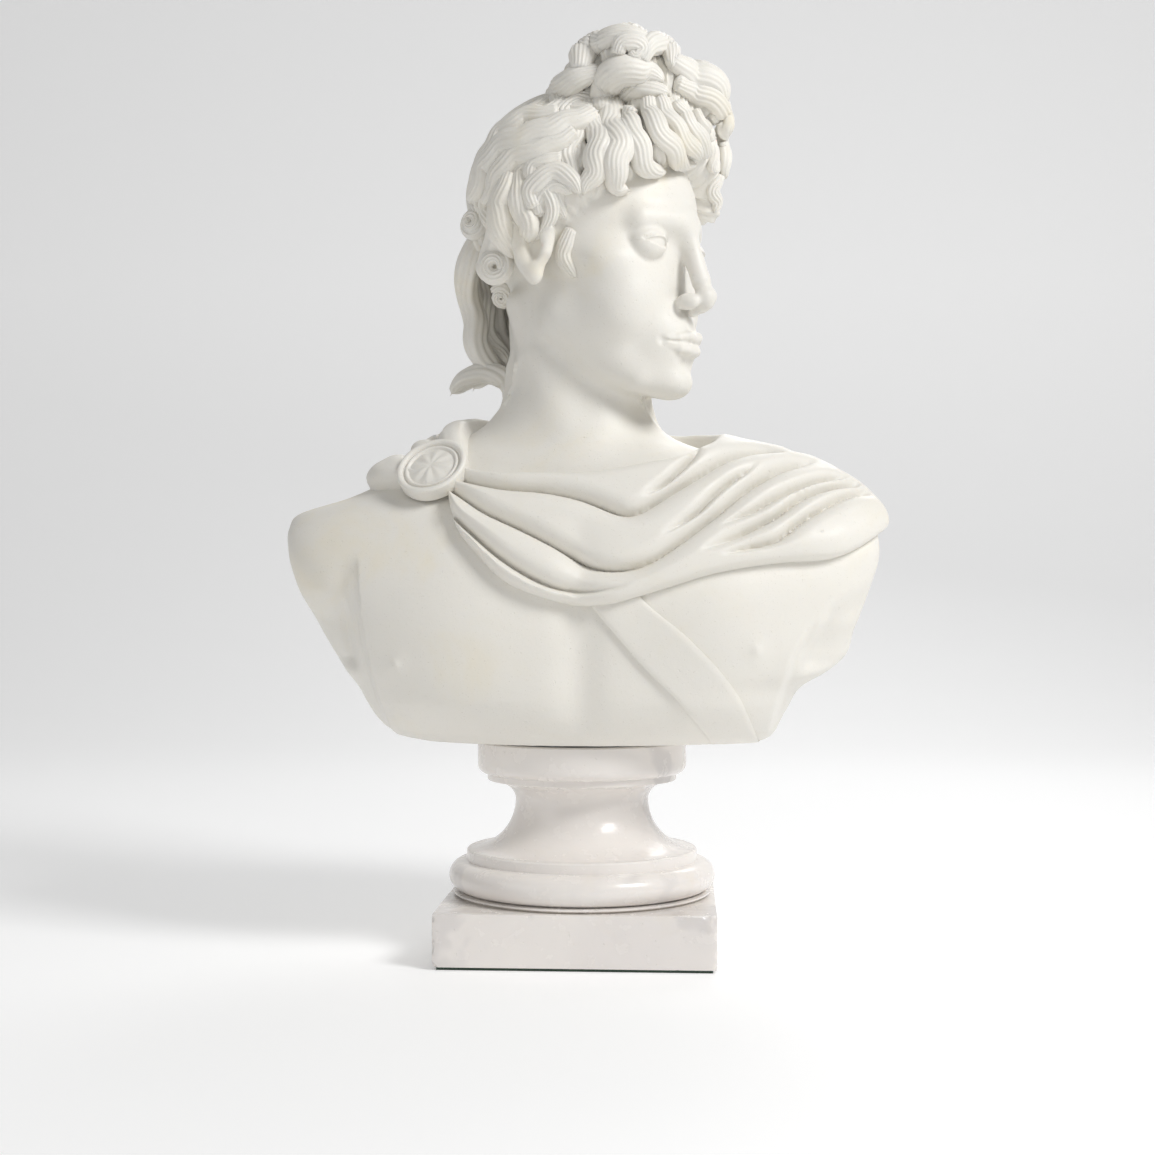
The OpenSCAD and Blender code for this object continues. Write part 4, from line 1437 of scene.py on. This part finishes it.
def studio():
    world = bpy.data.worlds.new("studio")
    world.use_nodes = True
    nodes, links = world.node_tree.nodes, world.node_tree.links
    nodes["Background"].inputs["Color"].default_value = (1, 1, 1, 1)
    seen = nodes.new("ShaderNodeLightPath")
    level = nodes.new("ShaderNodeMapRange")
    level.inputs["To Min"].default_value = 0.36
    level.inputs["To Max"].default_value = 1.0
    links.new(seen.outputs["Is Camera Ray"], level.inputs["Value"])
    links.new(level.outputs["Result"], nodes["Background"].inputs["Strength"])
    bpy.context.scene.world = world
    bpy.context.scene.view_settings.view_transform = "Standard"
    area_light("key", (1.5, -1.1, 1.7), 0.7, 34)
    area_light("fill", (-1.7, -1.2, 0.8), 1.2, 4)
    area_light("back", (0.4, 1.6, 1.5), 1.0, 9)
    sweep_ = [(3 * side, y, z) for y, z in COVE for side in (-1, 1)]
    faces = [(2 * k, 2 * k + 1, 2 * k + 3, 2 * k + 2) for k in range(len(COVE) - 1)]
    mesh = bpy.data.meshes.new("floor")
    mesh.from_pydata(sweep_, [], faces)
    mesh.polygons.foreach_set("use_smooth", [True] * len(faces))
    floor = bpy.data.objects.new("floor", mesh)
    bpy.context.scene.collection.objects.link(floor)
    look = bpy.data.materials.new("pale_floor")
    look.use_nodes = True
    shader = look.node_tree.nodes["Principled BSDF"]
    shader.inputs["Base Color"].default_value = (0.9, 0.9, 0.9, 1)
    shader.inputs["Roughness"].default_value = 0.7
    shader.inputs["Emission Color"].default_value = (1, 1, 1, 1)
    shader.inputs["Emission Strength"].default_value = 0.16
    mesh.materials.append(look)


# The floor and the backdrop as one sheet: y, z in metres
COVE = [(-4, 0), (1.6, 0)] + [(1.6 + math.sin(math.radians(a)), 1 - math.cos(math.radians(a)))
                              for a in range(9, 91, 9)] + [(2.6, 4.5)]


def dress(piece, look):
    """Gives the piece one material."""
    piece.data.materials.clear()
    piece.data.materials.append(look)


camera()
studio()
looks = finishes()
slots = {"slip_disc": "lead_sheet", "setting_bed": "lime_mortar", "locating_dowels": "brass_dowel",
         "rubber_washer": "black_rubber", "steel_washer": "stainless_steel", "felt_base": "green_felt",
         "threaded_rod": "stainless_steel", "resin_sleeve": "stone_resin", "hex_nut": "stainless_steel",
         "lock_nut": "stainless_steel", "socle": "veined_marble", "plinth": "veined_marble",
         "bust": "statuary_marble"}
for node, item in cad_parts.items():
    dress(item, looks[slots[node]])
carved = main()
for piece in carved:
    dress(piece, looks["statuary_marble"])
    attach(piece, "bust_block")
    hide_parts("bust")
for piece, node in ((socle(), "socle"), (plinth(), "plinth")):
    dress(piece, looks["veined_marble"])
    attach(piece, "base")
    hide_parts(node)
